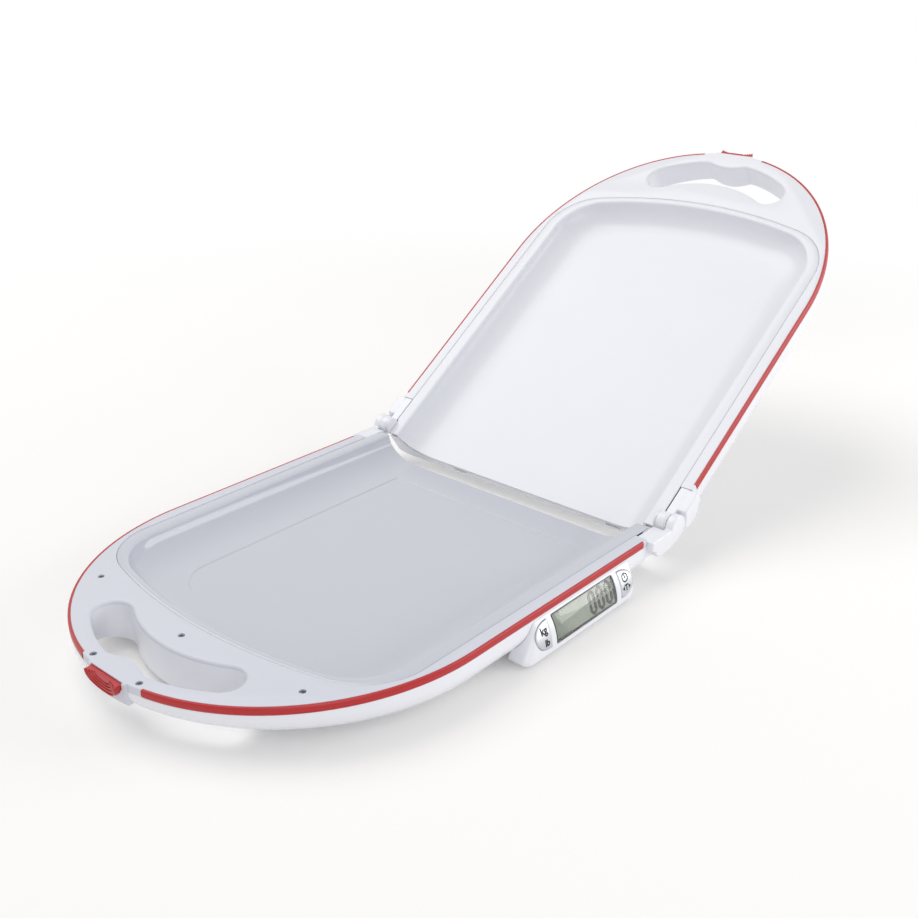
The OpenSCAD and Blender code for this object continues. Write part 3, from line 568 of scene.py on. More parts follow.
def latch_form(x0, x1, grow):
    return moved(loft([(latch_opening, x0, grow), (latch_opening, x1, grow)]), AT_LATCH)


def deck(screws):
    rim = loft([half_ring(-EDGE_T, 1.9), half_ring(-0.45, 1.9), half_ring(-0.2, 1.98),
                half_ring(-0.06, 2.15), half_ring(0, 2.4)])
    plate = combine(rim, loft([half_ring(-DECK_T, BAND_T + 0.2), half_ring(-0.4, BAND_T + 0.2)]), "UNION")
    edge = combine(loft([half_ring(z, inset) for z, inset in
                         ((-5.2, 0.3), (-0.7, 0.3), (-0.35, 0.42), (-0.1, 0.72), (0, 1.2))]),
                   loft([half_ring(-6, 6, 20), half_ring(1, 6, 20)]))
    bare = join(tip_block(BAND_GAP - 0.3), block(30, BAND_START - 0.2, -160, 160, -20, 10))
    plate = combine(plate, combine(edge, bare, "INTERSECT"), "UNION")
    ledge = combine(prism(*seam_sizes(36, 3), -4.5, -DECK_T + 0.1),
                    loft([half_ring(-10, 4.7), half_ring(5, 4.7)]), "INTERSECT")
    plate = combine(plate, ledge, "UNION")
    swell = ((COLLAR_LOW, -0.2), (COLLAR_LOW + 1, -COLLAR_OUT), (-0.8, -COLLAR_OUT), (0, -0.4))
    nose = combine(loft([half_ring(z, inset, 300) for z, inset in swell]),
                   block(COLLAR_IN, 400, -COLLAR_HALF, COLLAR_HALF, -30, 10), "INTERSECT")
    plate = combine(plate, nose, "UNION")
    opening = [seam(z, -50, 0.2 + grow) for z, grow in [(-DECK_T, 0)] + rolled(0.7, 3)]
    cutters = [loft(opening + [seam(5, -50, 0.9)]), prism(*seam_sizes(-50, -4), -20, 5)]
    lip = [(hole_outline, z, grow) for z, grow in [(-30, 0)] + rolled(2.3)]
    cutters.append(loft(lip + [(hole_outline, 5, 2.3)]))
    cutters.append(latch_form(COLLAR_IN - 1, 410, GAP))
    cutters.append(block(LATCH_EDGE, 410, -LATCH_HALF - GAP, LATCH_HALF + GAP, -5, 5))
    if screws:
        cutters += [turned([(0, SCREW_SEAT), (2.25, SCREW_SEAT), (2.25, -0.2), (2.5, 0), (2.5, 3), (0, 3)],
                           steps=32, centre=spot) for spot in DECK_SCREWS]
    return carved(plate, *cutters)


def seam_sizes(start, grow):
    return tray_outline, seam(0, start, grow)[2:]


# The base's deck is greyer than the lid's: painted shade.
piece("base_rim_plate", deck(True), AT_BASE, "base", DECK_ABS_PAINTED_SHADE, ["base_deck"])
piece("lid_rim_plate", deck(False), AT_LID, "lid", LID_ABS, ["lid_deck"])

# ---------- Trays ----------
# One polished moulding per half that the child lies in: a flat lip, walls that curve into
# the floor, and in the base a shallow sunken panel with a fine step round it.
TRAY_T = 2.2


def tray(start, panel):
    levels = [seam(-1.0, start, 0), seam(-0.5, start, -0.1), seam(-0.3, start, -0.5)]
    levels += [(tray_outline, z, *cove(90, start, grow)[2:])
               for z, grow in ((-0.3, 2.4), (-0.45, 1.2), (-0.9, 0.5))]
    levels += [cove(a, start, 0) for a in (86, 81, 75, 68, 60, 52, 44, 36, 28, 20, 13, 7, 3, 0)]
    floor_rings = [levels[-1]]
    if panel:
        floor_rings += [(tray_outline, -TRAY_DEPTH, start + 28.2, 92, 282.4, 400, 30.4),
                        (tray_outline, -TRAY_DEPTH - 0.8, start + 29, 91.2, 281.6, 400, 30)]
    else:
        floor_rings += [(tray_outline, -TRAY_DEPTH, start + 10, 80, 270, 400, 30)]
    bm = faced(merged(join(loft(levels, closed=False, caps=()), loft(floor_rings, caps=(-1,)))))
    if sum(f.normal.z * f.calc_area() for f in bm.faces) < 0:
        bmesh.ops.reverse_faces(bm, faces=bm.faces)
    bmesh.ops.solidify(bm, geom=bm.faces[:], thickness=TRAY_T)
    return faced(bm)


# The base's tray is greyer than the lid's: painted shade.
piece("base_tray_skin", tray(BASE_START, True), AT_BASE, "base", TRAY_ABS_PAINTED_SHADE, ["base_tray"])
lid_tray = combine(tray(LID_START, False), knuckle_room(), crossing=True)
piece("lid_tray_skin", lid_tray, AT_LID, "lid", LID_ABS, ["lid_tray"])

# ---------- Trim bands ----------
# A red bead pressed into the groove under each rim. It ends short of the arms and the latch.
def band():
    section = ((BAND_LOW, 1.8), (BAND_LOW, 0.3), (BAND_LOW + 0.35, 0.05), (-3.9, -0.12), (-1.6, -0.12),
               (BAND_HIGH - 0.35, 0.05), (BAND_HIGH, 0.3), (BAND_HIGH, 1.8), (BAND_LOW, 1.8))
    bm = loft([half_ring(z, inset, BAND_START) for z, inset in section], closed=False, caps=())
    return combine(faced(filled(bm)), tip_block(BAND_GAP))


for half, place in HALVES:
    piece(half + "_trim", band(), place, half, RED_ABS, [half + "_trim_band"])

# ---------- Latch buttons ----------
# A red half-oval push button in each tip, hollowed for the thumb and ribbed with arcs.
LATCH_OUT, LATCH_DISH, LATCH_BACK, STEM_R, STEM_Z, RIBS = 5.0, 3.0, 383.5, 2.4, -7.2, 4
dish_r = (LATCH_HALF ** 2 + LATCH_DISH ** 2) / (2 * LATCH_DISH)


def latch_button():
    bm = bmesh.new()
    bmesh.ops.create_circle(bm, cap_ends=True, segments=96, radius=LATCH_HALF)
    bmesh.ops.scale(bm, vec=(1, LATCH_HIGH / LATCH_HALF, 1), verts=bm.verts)
    face = bm.faces[:]
    out = math.copysign(1, face[0].normal.z)
    for _ in range(RIBS):
        for width, height in ((0.75, 0.0), (0.3, -0.7), (0.75, 0.0), (0.3, 0.7)):
            bmesh.ops.inset_region(bm, faces=face, thickness=width, depth=out * height, use_boundary=True)
    for v in bm.verts:
        v.co.z += HALF_LENGTH + LATCH_OUT - LATCH_DISH + dish_r - math.sqrt(dish_r ** 2 - v.co.x ** 2)
    for v in points_of(bmesh.ops.extrude_edge_only(bm, edges=open_edges(bm))["geom"]):
        v.co.z = LATCH_BACK
    bm = moved(faced(cut_off(filled(bm), (0, 0, 0), (0, 1, 0))), AT_LATCH)
    stem = turned([(0, -6), (STEM_R - 0.4, -6), (STEM_R, -5.6), (STEM_R, 1), (0, 1)], steps=32)
    return combine(bm, moved(stem, shift(LATCH_BACK, 0, STEM_Z) @ ACROSS), "UNION")


for half, place in HALVES:
    piece(half + "_thumb_button", latch_button(), place, half + "_latch", RED_ABS,
          [half + "_latch_button"])

# ---------- Hinge arms ----------
# Smooth white arms beside the trays. The base's arm ends in a round plate outside the lid's
# knuckle, and the lid's arm carries the knuckle that turns on the pin.
KNUCKLE_R, KNUCKLE_IN, KNUCKLE_OUT, PLATE_IN, PLATE_OUT = 7.5, 139.8, 147.1, 148.1, 155.0
ARM_ROOT, ARM_LOW, ROUND_OFF, ROUND_CLEAR = 32.8, -17.0, 2.5, 13.34
BORE_R, BORE_LID_R, CAP_R, CAP_IN, CAP_OUT = 2.52, 2.56, 7.2, 137.5, 139.6


def upright(draw, inner, outer):
    """A plate drawn in the side view and as thick as from inner to outer."""
    return moved(loft([(draw, -outer), (draw, -inner)]), Matrix.Rotation(math.pi / 2, 4, "X"))


def rounded(bm, radius, angle=30):
    """Rounds every sharp edge of a simple form."""
    sharp = [e for e in bm.edges if len(e.link_faces) == 2 and e.calc_face_angle() > math.radians(angle)]
    bmesh.ops.bevel(bm, geom=sharp, offset=radius, offset_type="OFFSET", segments=4, profile=0.5,
                    affect="EDGES", material=-1, clamp_overlap=True)
    return bm


def base_plate(bm, z):
    return run(bm, z, (ARM_ROOT, -1.5), (6.98, -1.5), (-ROUND_OFF, AXIS_ABOVE_RIM - ROUND_OFF, 247, 28),
               (8, -16.1), (15, -16.9), (20, ARM_LOW), (20, -9, 70, 8), (ARM_ROOT, -9))


def base_root(bm, z):
    return run(bm, z, (ARM_ROOT, -1.5), (9.2, -1.5), (9.2, -13), (14, -15), (ARM_ROOT, -15))


def lid_web(bm, z):
    return run(bm, z, (ARM_ROOT, -0.6), (2, -0.6), (0, -5.5), (6, -15), (ARM_ROOT, -15))


def lid_plate(bm, z):
    start = math.asin((0.6 + AXIS_ABOVE_RIM) / ROUND_CLEAR)
    return run(bm, z, (ARM_ROOT, -0.6), (ROUND_CLEAR * math.cos(start), -0.6), (0, AXIS_ABOVE_RIM, -52, 12),
               (8.2, -15.2), (15, -16.6), (20, ARM_LOW), (20, -9, 70, 8), (ARM_ROOT, -9))


base_arm = combine(rounded(upright(base_plate, PLATE_IN, PLATE_OUT), 1.6),
                   rounded(upright(base_root, KNUCKLE_IN, PLATE_IN + 2), 0.8), "UNION")
base_arm = combine(base_arm, on_axis(rod(BORE_R, PLATE_IN - 1, PLATE_IN + 5)))
piece("base_arms", both_sides(base_arm), AT_BASE, "base", WHITE_ABS, ["base_hinge_arms"])

knuckle = turned([(0, KNUCKLE_IN), (KNUCKLE_R - 0.8, KNUCKLE_IN), (KNUCKLE_R - 0.2, KNUCKLE_IN + 0.2),
                  (KNUCKLE_R, KNUCKLE_IN + 0.8), (KNUCKLE_R, KNUCKLE_OUT - 0.8),
                  (KNUCKLE_R - 0.2, KNUCKLE_OUT - 0.2), (KNUCKLE_R - 0.8, KNUCKLE_OUT), (0, KNUCKLE_OUT)],
                 steps=96)
lid_arm = combine(on_axis(knuckle), rounded(upright(lid_web, KNUCKLE_IN, KNUCKLE_OUT), 0.5), "UNION")
lid_arm = combine(lid_arm, rounded(upright(lid_plate, KNUCKLE_OUT - 1, PLATE_OUT), 1.4), "UNION")
lid_arm = combine(lid_arm, on_axis(rod(BORE_LID_R, KNUCKLE_IN - 1, KNUCKLE_OUT + 1)))
piece("lid_arms", both_sides(lid_arm), AT_LID, "lid", WHITE_ABS, ["lid_hinge_arms"])

cap = turned([(0, CAP_IN), (CAP_R - 1.8, CAP_IN), (CAP_R - 0.5, CAP_IN + 0.3), (CAP_R, CAP_IN + 1),
              (CAP_R, CAP_OUT), (0, CAP_OUT)], steps=96)
piece("hinge_pin_caps", both_sides(on_axis(cap)), AT_BASE, "base", WHITE_ABS)

# ---------- Display unit ----------
# A white pod on the base's side with a face curved like a drum. A clear lens covers the LCD,
# a dark seal runs round the lens, and a silver key stands at each end of it.
FACE_MID, FACE_Y, FACE_Z, FACE_R = 116.5, 122.0, -29.4, 36.0
FACE_TILT = math.radians(19.1)
POD_NEAR, POD_FAR, POD_NEAR_ROUND, POD_FAR_ROUND, POD_FULLNESS = 57.0, 190.0, 8.0, 14.0, 0.72
POD_IN, POD_TOP, POD_LOW, POD_WALL, POD_FOOT = 143.0, -5.5, -33.5, 2.0, 3.0
LEAN, LEAN_FROM, LEAN_RUN = 22.0, 130.0, 38.0     # the far end leans in at the top
LIFT, LIFT_FAR, LIFT_NEAR = 7.0, 16.0, 9.0        # both ends are drawn up below
WINDOW_W, WINDOW_H, KEY_W, KEY_H, KEY_FROM = 70.5, 21.0, 15.0, 20.0, 41.25
ON_FACE = Matrix(((-1, 0, 0, FACE_MID), (0, -math.sin(FACE_TILT), math.cos(FACE_TILT), FACE_Y),
                  (0, math.cos(FACE_TILT), math.sin(FACE_TILT), FACE_Z), (0, 0, 0, 1)))


def pod_section(bm, u, swell, inset):
    low, top, radius = POD_LOW + inset, POD_TOP - inset, FACE_R - inset
    brow = math.asin((top - FACE_Z) / radius)
    knee = math.asin((low + POD_FOOT - FACE_Z) / (radius - POD_FOOT))
    side = HALF_WIDTH - 1

    def flatten(co):
        if co.x > side:
            co.x = side + (co.x - side) * swell

    return run(bm, u, (POD_IN + inset, top), (FACE_Y + radius * math.cos(brow), top),
               (FACE_Y, FACE_Z, math.degrees(knee - brow), 36),
               (FACE_Y + (radius - POD_FOOT) * math.cos(knee), low + POD_FOOT, -math.degrees(knee) - 90, 10),
               (POD_IN + inset, low), bend=flatten)


def pod(inset):
    turns = [math.radians(a) for a in (1, 5, 11, 18, 26, 34, 42, 50, 58, 66, 74, 82, 89.9)]
    rings = [(pod_section, POD_NEAR + inset + POD_NEAR_ROUND * (1 - math.cos(a) ** POD_FULLNESS),
              math.sin(a) ** POD_FULLNESS, inset) for a in turns]
    rings += [(pod_section, POD_FAR - inset - POD_FAR_ROUND * (1 - math.cos(a) ** POD_FULLNESS),
               math.sin(a) ** POD_FULLNESS, inset) for a in reversed(turns)]
    bm = moved(loft(rings), ACROSS)
    for v in bm.verts:
        for reach in ((v.co.x - POD_FAR) / LIFT_FAR + 1, (POD_NEAR - v.co.x) / LIFT_NEAR + 1):
            lift = 1 - math.sqrt(1 - min(1.0, max(0.0, reach)) ** 2)
            v.co.z += LIFT * lift * (POD_TOP - v.co.z) / (POD_TOP - POD_LOW)
        share = min(1.0, max(0.0, (v.co.x - LEAN_FROM) / LEAN_RUN))
        v.co.x -= LEAN * share * (v.co.z - POD_LOW) / (POD_TOP - POD_LOW)
    return faced(bm)


def wrapped(bm, step=0.8):
    """Bends a form drawn flat round the face. z = 0 is the face and y runs up it."""
    low, high = min(v.co.y for v in bm.verts), max(v.co.y for v in bm.verts)
    for i in range(1, int((high - low) / step)):
        bmesh.ops.bisect_plane(bm, geom=bm.verts[:] + bm.edges[:] + bm.faces[:],
                               plane_co=(0, low + i * step, 0), plane_no=(0, 1, 0), dist=0.002)
    for v in bm.verts:
        turn, radius = v.co.y / FACE_R, FACE_R + v.co.z
        v.co.y, v.co.z = radius * math.sin(turn), radius * math.cos(turn)
    return faced(moved(bm, ON_FACE))


def window_outline(bm, z, grow, bend=None):
    half_w, half_h, corner = WINDOW_W / 2 + grow, WINDOW_H / 2 + grow, 1.2 + max(grow, -0.8)
    steps = []
    for x, y in ((-1, -1), (1, -1), (1, 1), (-1, 1)):
        cx, cy = x * (half_w - corner), y * (half_h - corner)
        steps += [(x * half_w, cy) if x * y > 0 else (cx, y * half_h), (cx, cy, 90, 6)]
    return run(bm, z, (-half_w, -half_h + corner), *steps, bend=bend)


def key_outline(bm, z, grow, side):
    """Straight beside the window, round at the other side."""
    half, swing = KEY_H / 2 + grow, [math.radians(5 * i - 90) for i in range(37)]
    points = [((KEY_W + grow) * max(0.0, math.cos(a)) ** 0.85, half * math.sin(a)) for a in swing]
    points += [(-grow, half), (-grow, -half)]
    return run(bm, z, *[(side * (x + KEY_FROM), y) for x, y in points])


def opening(draw, *more):
    """A cutter through the face, with a rounded edge."""
    levels = ((-9, 0), (-0.45, 0), (-0.2, 0.08), (-0.05, 0.22), (0, 0.45), (2, 0.45))
    return wrapped(loft([(draw, z, GAP + grow, *more) for z, grow in levels]))


housing = carved(pod(0), pod(POD_WALL), casing_form(-50, -CASING_IN, 2), opening(window_outline),
                 opening(key_outline, 1), opening(key_outline, -1))
piece("display_pod", housing, AT_BASE, "base", WHITE_ABS, ["display_housing"], smooth=28)

# ---------- Lens, seal and LCD ----------
# The lens is clear acrylic with a polished face. Its black seal shows as a thin line; above
# and on the left it is broader, as painted shade where the LCD sits deep. Behind it the LCD's
# glass shows three zeros in black segments.
LENS_T, LCD_FRONT, LCD_T, SEAL_T, SEGMENT_T = 1.6, 32.4, 2.6, 0.5, 0.2


def seal_outline(bm, z, grow):
    """The seal's inner edge: the window, moved off the left and upper sides, so that the seal is broader
    there as painted shade.
    """
    def widen_as_painted_shade(co):
        co.x = co.x * (1 - 0.9 / WINDOW_W) + 0.45
        co.y = co.y * (1 - 0.5 / WINDOW_H) - 0.25

    return window_outline(bm, z, grow, widen_as_painted_shade)


def clear_acrylic():
    made, tree, spot = material("clear_acrylic_polished")
    waves = add(tree, "TexNoise", {"Vector": spot, "Scale": 1 / (30 * MM), "Detail": 1.0})
    smears = add(tree, "TexNoise", {"Vector": spot, "Scale": 1 / (9 * MM), "Detail": 4.0})
    gloss = add(tree, "MapRange", {"Value": smears, "To Min": 0.0, "To Max": 0.02})
    soft = add(tree, "Bump", {"Height": waves, "Strength": 0.04, "Distance": 0.1 * MM})
    skin = add(tree, "BsdfPrincipled", {"Base Color": linear("#f6f8f6"), "Transmission Weight": 1.0,
                                        "IOR": 1.49, "Roughness": gloss, "Normal": soft})
    clear = add(tree, "BsdfTransparent", {"Color": linear("#f2f4f2")})
    rays = add(tree, "LightPath")
    lit = add(tree, "MixShader", {0: rays.outputs["Is Shadow Ray"], 1: skin, 2: clear})
    add(tree, "OutputMaterial", {"Surface": lit})
    return made


def lcd_glass():
    """The reflective layer behind an LCD: grey-green, with the fine grain of its polariser."""
    made, tree, spot = material("lcd_reflector_grey")
    grain = add(tree, "TexNoise", {"Vector": spot, "Scale": 1 / (0.35 * MM), "Detail": 2.0})
    broad = add(tree, "TexNoise", {"Vector": spot, "Scale": 1 / (25 * MM), "Detail": 2.0})
    both = add(tree, "Math", {0: grain, 1: broad}, operation="MULTIPLY")
    tint = add(tree, "MixRGB", {0: both, 1: linear("#848a80"), 2: linear("#9aa096")})
    skin = add(tree, "BsdfPrincipled", {"Base Color": tint, "Roughness": 0.35, "IOR": 1.5})
    add(tree, "OutputMaterial", {"Surface": skin})
    return made


lens = wrapped(loft([(window_outline, z, grow) for z, grow in
                     ((-LENS_T, -0.05), (-0.4, -0.05), (-0.18, -0.13), (-0.1, -0.35))]))
piece("display_lens_clear", lens, AT_BASE, "base", clear_acrylic(), ["display_lens"])

seal = loft([(window_outline, z, grow) for z, grow in ((-LENS_T - SEAL_T, 0.15), (-LENS_T - 0.02, 0.15))])
# Broader above and on the left: painted shade of the deep-set LCD, laid into the seal.
seal = combine(seal, loft([(seal_outline, z, -0.7) for z in (-9, 9)]))
rim = loft([(window_outline, z, 0.26) for z in (-LENS_T - 0.1, -0.28)])
rim = combine(rim, loft([(window_outline, z, -0.02) for z in (-9, 9)]))
piece("lens_seal", join(wrapped(seal), wrapped(rim)), AT_BASE, "base", SHADE_ABS)

glass = block(-WINDOW_W / 2 + 0.5, WINDOW_W / 2 - 0.5, -WINDOW_H / 2 + 0.5, WINDOW_H / 2 - 0.5,
              LCD_FRONT - LCD_T, LCD_FRONT)
front = [f for f in glass.faces if f.normal.z > 0.9]
bmesh.ops.inset_region(glass, faces=front, thickness=1.2, depth=0)
rim = [v for v in glass.verts if v.co.z > LCD_FRONT - 0.1 and abs(v.co.x) > WINDOW_W / 2 - 0.6]
bmesh.ops.translate(glass, vec=(0, 0, -0.8), verts=rim)
piece("lcd_glass", moved(glass, ON_FACE), AT_BASE, "base", lcd_glass(), ["lcd_panel"], edge=0.2)

DIGIT_W, DIGIT_H, SEGMENT, DIGIT_STEP, DIGIT_LAST, SLIT = 5.0, 14.6, 2.6, 9.3, 28.8, 0.16


def segment(x0, y0, x1, y1):
    """One bar of a digit with pointed ends, from end to end."""
    along = Vector((x1 - x0, y1 - y0, 0))
    bm = bmesh.new()
    bmesh.ops.create_grid(bm, x_segments=1, y_segments=2, size=0.5)
    for v in bm.verts:
        cut_back = SEGMENT / 2 if abs(v.co.y) > 0.1 else 0
        v.co.x = math.copysign(along.length / 2 - cut_back, v.co.x)
        v.co.y *= SEGMENT
    turn = Matrix.Rotation(math.atan2(along.y, along.x), 4, "Z")
    return faced(moved(raised(bm, SEGMENT_T), turn, shift((x0 + x1) / 2, (y0 + y1) / 2, LCD_FRONT)))


bars, top = [], DIGIT_H / 2
for number in range(3):
    middle = DIGIT_LAST - number * DIGIT_STEP
    left, right_x = middle - DIGIT_W / 2, middle + DIGIT_W / 2
    bars += [segment(left + SLIT, y, right_x - SLIT, y) for y in (top, -top)]
    for x in (left, right_x):
        bars += [segment(x, -top + SLIT, x, -SLIT), segment(x, SLIT, x, top - SLIT)]
DYE = plastic("lcd_black_dye", "#0b0c0d", 0.6, 0.4, 0.1)
piece("lcd_digits", moved(join(*bars), ON_FACE), AT_BASE, "base", DYE)

# ---------- Keys ----------
# Two D-shaped push keys of satin silver plastic with a soft crown. The marks are printed: the
# unit on the left key, the switch and the zeroing sign on the right one.
KEY_CROWN, PRINT_T = 0.5, 0.12


def silver_plastic():
    """ABS painted with a fine aluminium lacquer: a soft metal sheen with a slight sparkle."""
    made, tree, spot = material("silver_lacquered_abs")
    flake = add(tree, "TexNoise", {"Vector": spot, "Scale": 1 / (0.25 * MM), "Detail": 2.0})
    tint = add(tree, "MixRGB", {0: flake, 1: linear("#bcbec6"), 2: linear("#d9dbe1")})
    gloss = add(tree, "MapRange", {"Value": flake, "To Min": 0.26, "To Max": 0.4})
    skin = add(tree, "BsdfPrincipled", {"Base Color": tint, "Metallic": 0.75, "Roughness": gloss,
                                        "Coat Weight": 0.3, "Coat Roughness": 0.1})
    add(tree, "OutputMaterial", {"Surface": skin})
    return made


SILVER = silver_plastic()


def key_cap(side):
    levels = ((-2.0, 0), (-0.2, 0), (0.1, -0.1), (0.3, -0.35), (0.43, -0.75), (KEY_CROWN, -1.4))
    cap = wrapped(loft([(key_outline, z, grow, side) for z, grow in levels]))
    stem = moved(rod(1.6, 32.9, 34.5, 32), shift(side * (KEY_FROM + KEY_W * 0.42), 0), ON_FACE)
    return combine(cap, stem, "UNION")


def printed(words, size, x, y):
    """Letters as a thin print, drawn flat."""
    text = bpy.data.curves.new("print", "FONT")
    text.body, text.size, text.align_x, text.align_y = words, size, "CENTER", "CENTER"
    text.offset, text.resolution_u = size * 0.035, 4
    holder = bpy.data.objects.new("print", text)
    bpy.context.scene.collection.objects.link(holder)
    bpy.context.view_layer.update()
    mesh = bpy.data.meshes.new_from_object(holder)
    bm = bmesh.new()
    bm.from_mesh(mesh)
    bpy.data.objects.remove(holder)
    bpy.data.curves.remove(text)
    bpy.data.meshes.remove(mesh)
    return moved(bm, shift(x, y))


def raise_print(bm):
    """Gives a flat print its thickness on the keys' crown, and bends it round the face."""
    bm = moved(raised(merged(bm, 0.003), PRINT_T), shift(0, 0, KEY_CROWN - 0.01))
    return wrapped(faced(bm), 0.5)


def ring_mark(x, y, outer, inner, steps=40):
    bm = bmesh.new()
    bmesh.ops.create_circle(bm, cap_ends=True, segments=steps, radius=outer)
    disc = bm.faces[:]
    bmesh.ops.inset_region(bm, faces=disc, thickness=outer - inner, depth=0, use_boundary=True)
    bmesh.ops.delete(bm, geom=disc, context="FACES_ONLY")
    return moved(bm, shift(x, y))


def bar_mark(x, y, width, height, point=0):
    """A small bar, or an arrow head that points along x when point is 1 or -1."""
    bm = bmesh.new()
    bmesh.ops.create_grid(bm, x_segments=1, y_segments=1, size=0.5)
    for v in bm.verts:
        if point and v.co.x * point > 0:
            v.co.y *= 0.04
        v.co.x, v.co.y = x + v.co.x * width, y + v.co.y * height
    return bm


unit_x, power_x = -(KEY_FROM + KEY_W * 0.44), KEY_FROM + KEY_W * 0.44
piece("unit_key_cap", key_cap(-1), AT_BASE, "unit_key", SILVER, ["unit_key"], smooth=40)
piece("power_key_cap", key_cap(1), AT_BASE, "power_key", SILVER, ["power_key"], smooth=40)
unit_marks = join(printed("kg", 7.4, unit_x + 0.4, 4.0), printed("lb", 6.6, unit_x + 1.6, -4.8))
piece("unit_key_print", raise_print(unit_marks), AT_BASE, "unit_key", DYE)
power_marks = join(ring_mark(power_x - 0.6, 3.8, 3.5, 2.5), bar_mark(power_x - 0.6, 4.6, 1.0, 2.8),
                   printed("T", 6.4, power_x - 0.6, -3.8), bar_mark(power_x - 4.2, -3.6, 2.4, 3.4, -1),
                   bar_mark(power_x + 3.0, -3.6, 2.4, 3.4, 1))
piece("power_key_print", raise_print(power_marks), AT_BASE, "power_key", DYE)

# ---------- Feet ----------
# Weight reaches the table through round cups that press on the load cells. Each has a
# ribbed rubber pad. The hinge carries the lid's other end, so the lid has two.
CUP_LOW, CUP_TOP, PAD_LOW, CUP_R, PAD_R = -33.0, -27.5, -35.0, 16.0, 15.0
for half, place in HALVES:
    cups, pads = [], []
    for spot in FOOT_SPOTS[half]:
        cups.append(turned([(0, CUP_LOW), (CUP_R - 1.2, CUP_LOW), (CUP_R - 0.5, CUP_LOW + 0.25),
                            (CUP_R - 0.1, CUP_LOW + 0.8), (CUP_R, CUP_LOW + 1.4), (CUP_R, CUP_TOP),
                            (0, CUP_TOP)], steps=72, centre=spot))
        profile = [(0, PAD_LOW + 0.9), (4, PAD_LOW + 0.9)]
        for r in (5.0, 8.0, 11.0):
            profile += [(r - 0.6, PAD_LOW + 0.15), (r, PAD_LOW), (r + 0.6, PAD_LOW + 0.15),
                        (r + 1.3, PAD_LOW + 0.7)]
        profile += [(13.2, PAD_LOW), (14.2, PAD_LOW + 0.05), (14.8, PAD_LOW + 0.4), (PAD_R, PAD_LOW + 1.0),
                    (PAD_R, CUP_LOW), (0, CUP_LOW)]
        pads.append(turned(profile, steps=72, centre=spot))
    piece(half + "_foot_cups", join(*cups), place, half, GREY_ABS, [half + "_feet"])
    piece(half + "_rubber_pads", join(*pads), place, half, RUBBER, [half + "_foot_pads"])

# ---------- Battery door ----------
# A strip of the base's own skin that pulls out downwards. Ribs across one end give a grip.
door = combine(casing_form(-50, 0, 2), casing_form(-50 + WALL, WALL, 5))
x0, x1, y0, y1 = BATTERY_DOOR
door = combine(door, block(x0, x1, y0, y1, -31, -16), "INTERSECT")
grips = [block(x1 - 8 - 2.4 * i, x1 - 6.8 - 2.4 * i, y0 + 3, y1 - 6, -40, -29.2 + 0.1 * i) for i in range(6)]
piece("battery_door_skin", carved(door, *grips), AT_BASE, "battery_door", WHITE_ABS,
      ["battery_door"], edge=0.25)

# ---------- Screws ----------
# Zinc plated steel screws with a cross recess: five sunk in the base's deck, four that hold
# the casing from below in each half. Their grey is set darker, partly as painted shade of the recesses.
SCREW_HEAD, SCREW_SHANK = 2.0, 1.3


def plated_steel(name, colour, roughness, grain_mm):
    """Steel with a thin plated coat: a grey metal with fine mottling and soft rubbed marks."""
    made, tree, spot = material(name)
    mottle = add(tree, "TexNoise", {"Vector": spot, "Scale": 1 / (grain_mm * MM), "Detail": 3.0})
    base = Vector(linear(colour)[:3])
    tint = add(tree, "MixRGB", {0: mottle, 1: (*(base * 0.86), 1), 2: (*base, 1)})
    gloss = add(tree, "MapRange", {"Value": mottle, "To Min": roughness * 0.7, "To Max": roughness * 1.3})
    skin = add(tree, "BsdfPrincipled", {"Base Color": tint, "Metallic": 1.0, "Roughness": gloss})
    add(tree, "OutputMaterial", {"Surface": skin})
    return made


# The plated grey is set darker than plain zinc, so that the heads sunk in the deck show as dark dots: partly
# painted shade.
ZINC_SHADE_DARKENED = plated_steel("steel_zinc_plated_shade_darkened", "#7a7d82", 0.4, 1.0)
STEEL = plated_steel("steel_cold_rolled", "#8f9196", 0.42, 3.0)
NICKEL = plated_steel("steel_nickel_plated", "#c9c6bd", 0.25, 2.0)


def screw(top, length, up):
    """A pan head with a cross recess. up is 1 where the head looks up."""
    head = turned([(0, 0.8), (1.0, 0.78), (1.6, 0.62), (1.9, 0.35), (SCREW_HEAD, 0.1), (SCREW_HEAD, 0),
                   (SCREW_SHANK, 0), (SCREW_SHANK, -length + 1), (0.5, -length), (0, -length)], steps=32)
    cross = [moved(block(-1.2, 1.2, -0.26, 0.26, 0.2, 2), Matrix.Rotation(math.radians(turn), 4, "Z"))
             for turn in (20, 110)]
    head = carved(head, *cross)
    if up < 0:
        moved(head, Matrix.Rotation(math.pi, 4, "X"))
    return moved(head, shift(0, 0, top))


def repeated(bm, spots):
    copies = [moved(bm.copy(), shift(x, y)) for x, y in spots]
    bm.free()
    return join(*copies)


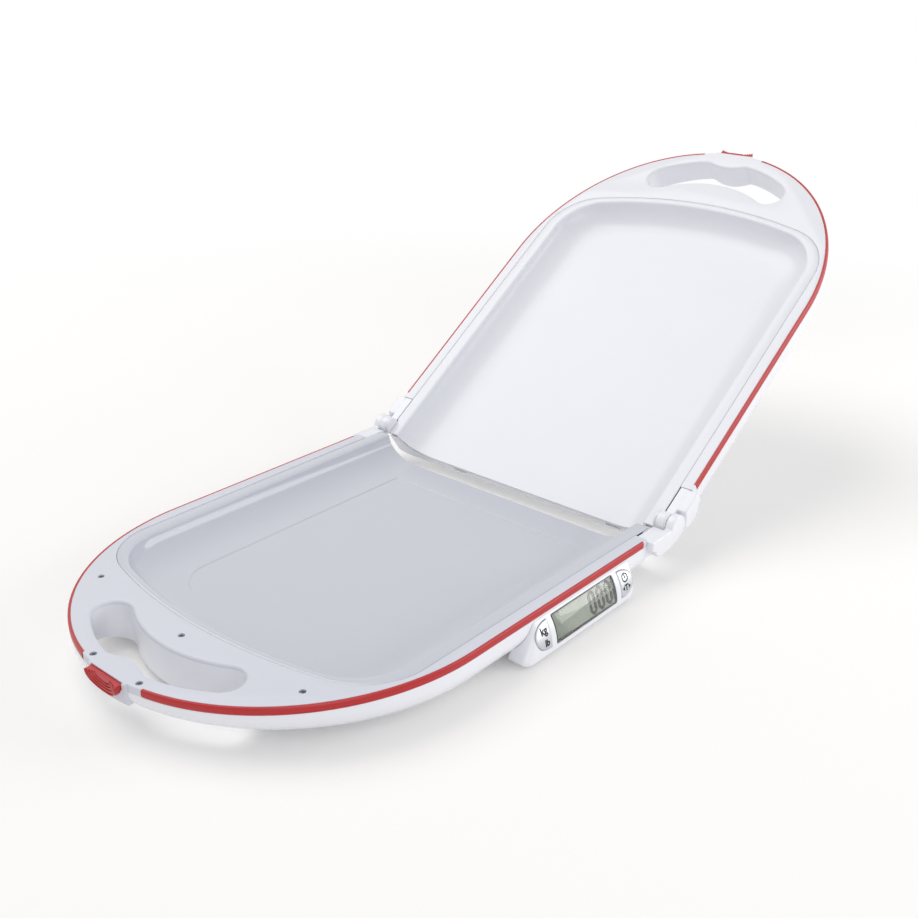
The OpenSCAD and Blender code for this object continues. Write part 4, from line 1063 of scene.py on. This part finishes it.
piece("base_deck_screw_set", repeated(screw(SCREW_SEAT, 8.1, 1), DECK_SCREWS), AT_BASE, "base",
      ZINC_SHADE_DARKENED, ["base_deck_screws"])
for half, place in HALVES:
    piece(half + "_case_screw_set", repeated(screw(-28.75, 6.2, -1), SCREW_SPOTS), place, half,
          ZINC_SHADE_DARKENED, [half + "_case_screws"])

# ---------- Springs ----------
# A coil of spring steel round each latch's stem pushes the button out again.
COIL_R, COIL_WIRE, COIL_TURNS, SPRING_FROM, SPRING_LONG = 3.7, 0.4, 4, 375.5, 4.7
for half, place in HALVES:
    coil = bmesh.new()
    bmesh.ops.create_circle(coil, segments=10, radius=COIL_WIRE)
    moved(coil, Matrix.Rotation(math.pi / 2, 4, "Y"), Matrix.Rotation(math.pi / 2, 4, "Z"),
          shift(SPRING_FROM + COIL_WIRE, 0, STEM_Z + COIL_R))
    rise = (SPRING_LONG - 2 * COIL_WIRE) / (COIL_TURNS * 24)
    bmesh.ops.spin(coil, geom=coil.verts[:] + coil.edges[:], cent=(0, 0, STEM_Z), axis=(1, 0, 0),
                   dvec=(rise, 0, 0), angle=math.tau * COIL_TURNS, steps=COIL_TURNS * 24, use_merge=False)
    bmesh.ops.holes_fill(merged(coil), edges=open_edges(coil), sides=0)
    faced(coil)
    piece(half + "_latch_coil", coil, place, half, ZINC_SHADE_DARKENED, [half + "_latch_spring"])

# ---------- Parts inside ----------
# The CAD's own solids keep their shape here: pins, washers, load cells, plates, wires,
# board, cells. Each gets the finish of the real part.
FINISHES = {
    "hinge_pins": NICKEL, "hinge_washers": plastic("nylon_white", "#f0f0f2", 0.45, 0.5, 0.1),
    "base_load_cells": NICKEL, "lid_load_cells": NICKEL, "base_counterweights": STEEL,
    "battery_contacts": NICKEL,
    "main_circuit_board": plastic("board_solder_mask", "#1f5b3a", 0.3, 0.8, 0.3, coat=0.3, cloud=0.2),
    "key_switches": SHADE_ABS, "base_wiring": plastic("wire_sleeve_pvc", "#b3262a", 0.4, 0.5, 0.1),
    "battery_cradle": SHADE_ABS, "batteries": plastic("battery_sleeve", "#3b4560", 0.3, 1.0, 0.1, coat=0.4),
}
FINISHES["lid_wiring"] = FINISHES["base_wiring"]
for name, finish in FINISHES.items():
    for slot in nodes[name].material_slots:
        slot.material = finish

bpy.context.view_layer.update()
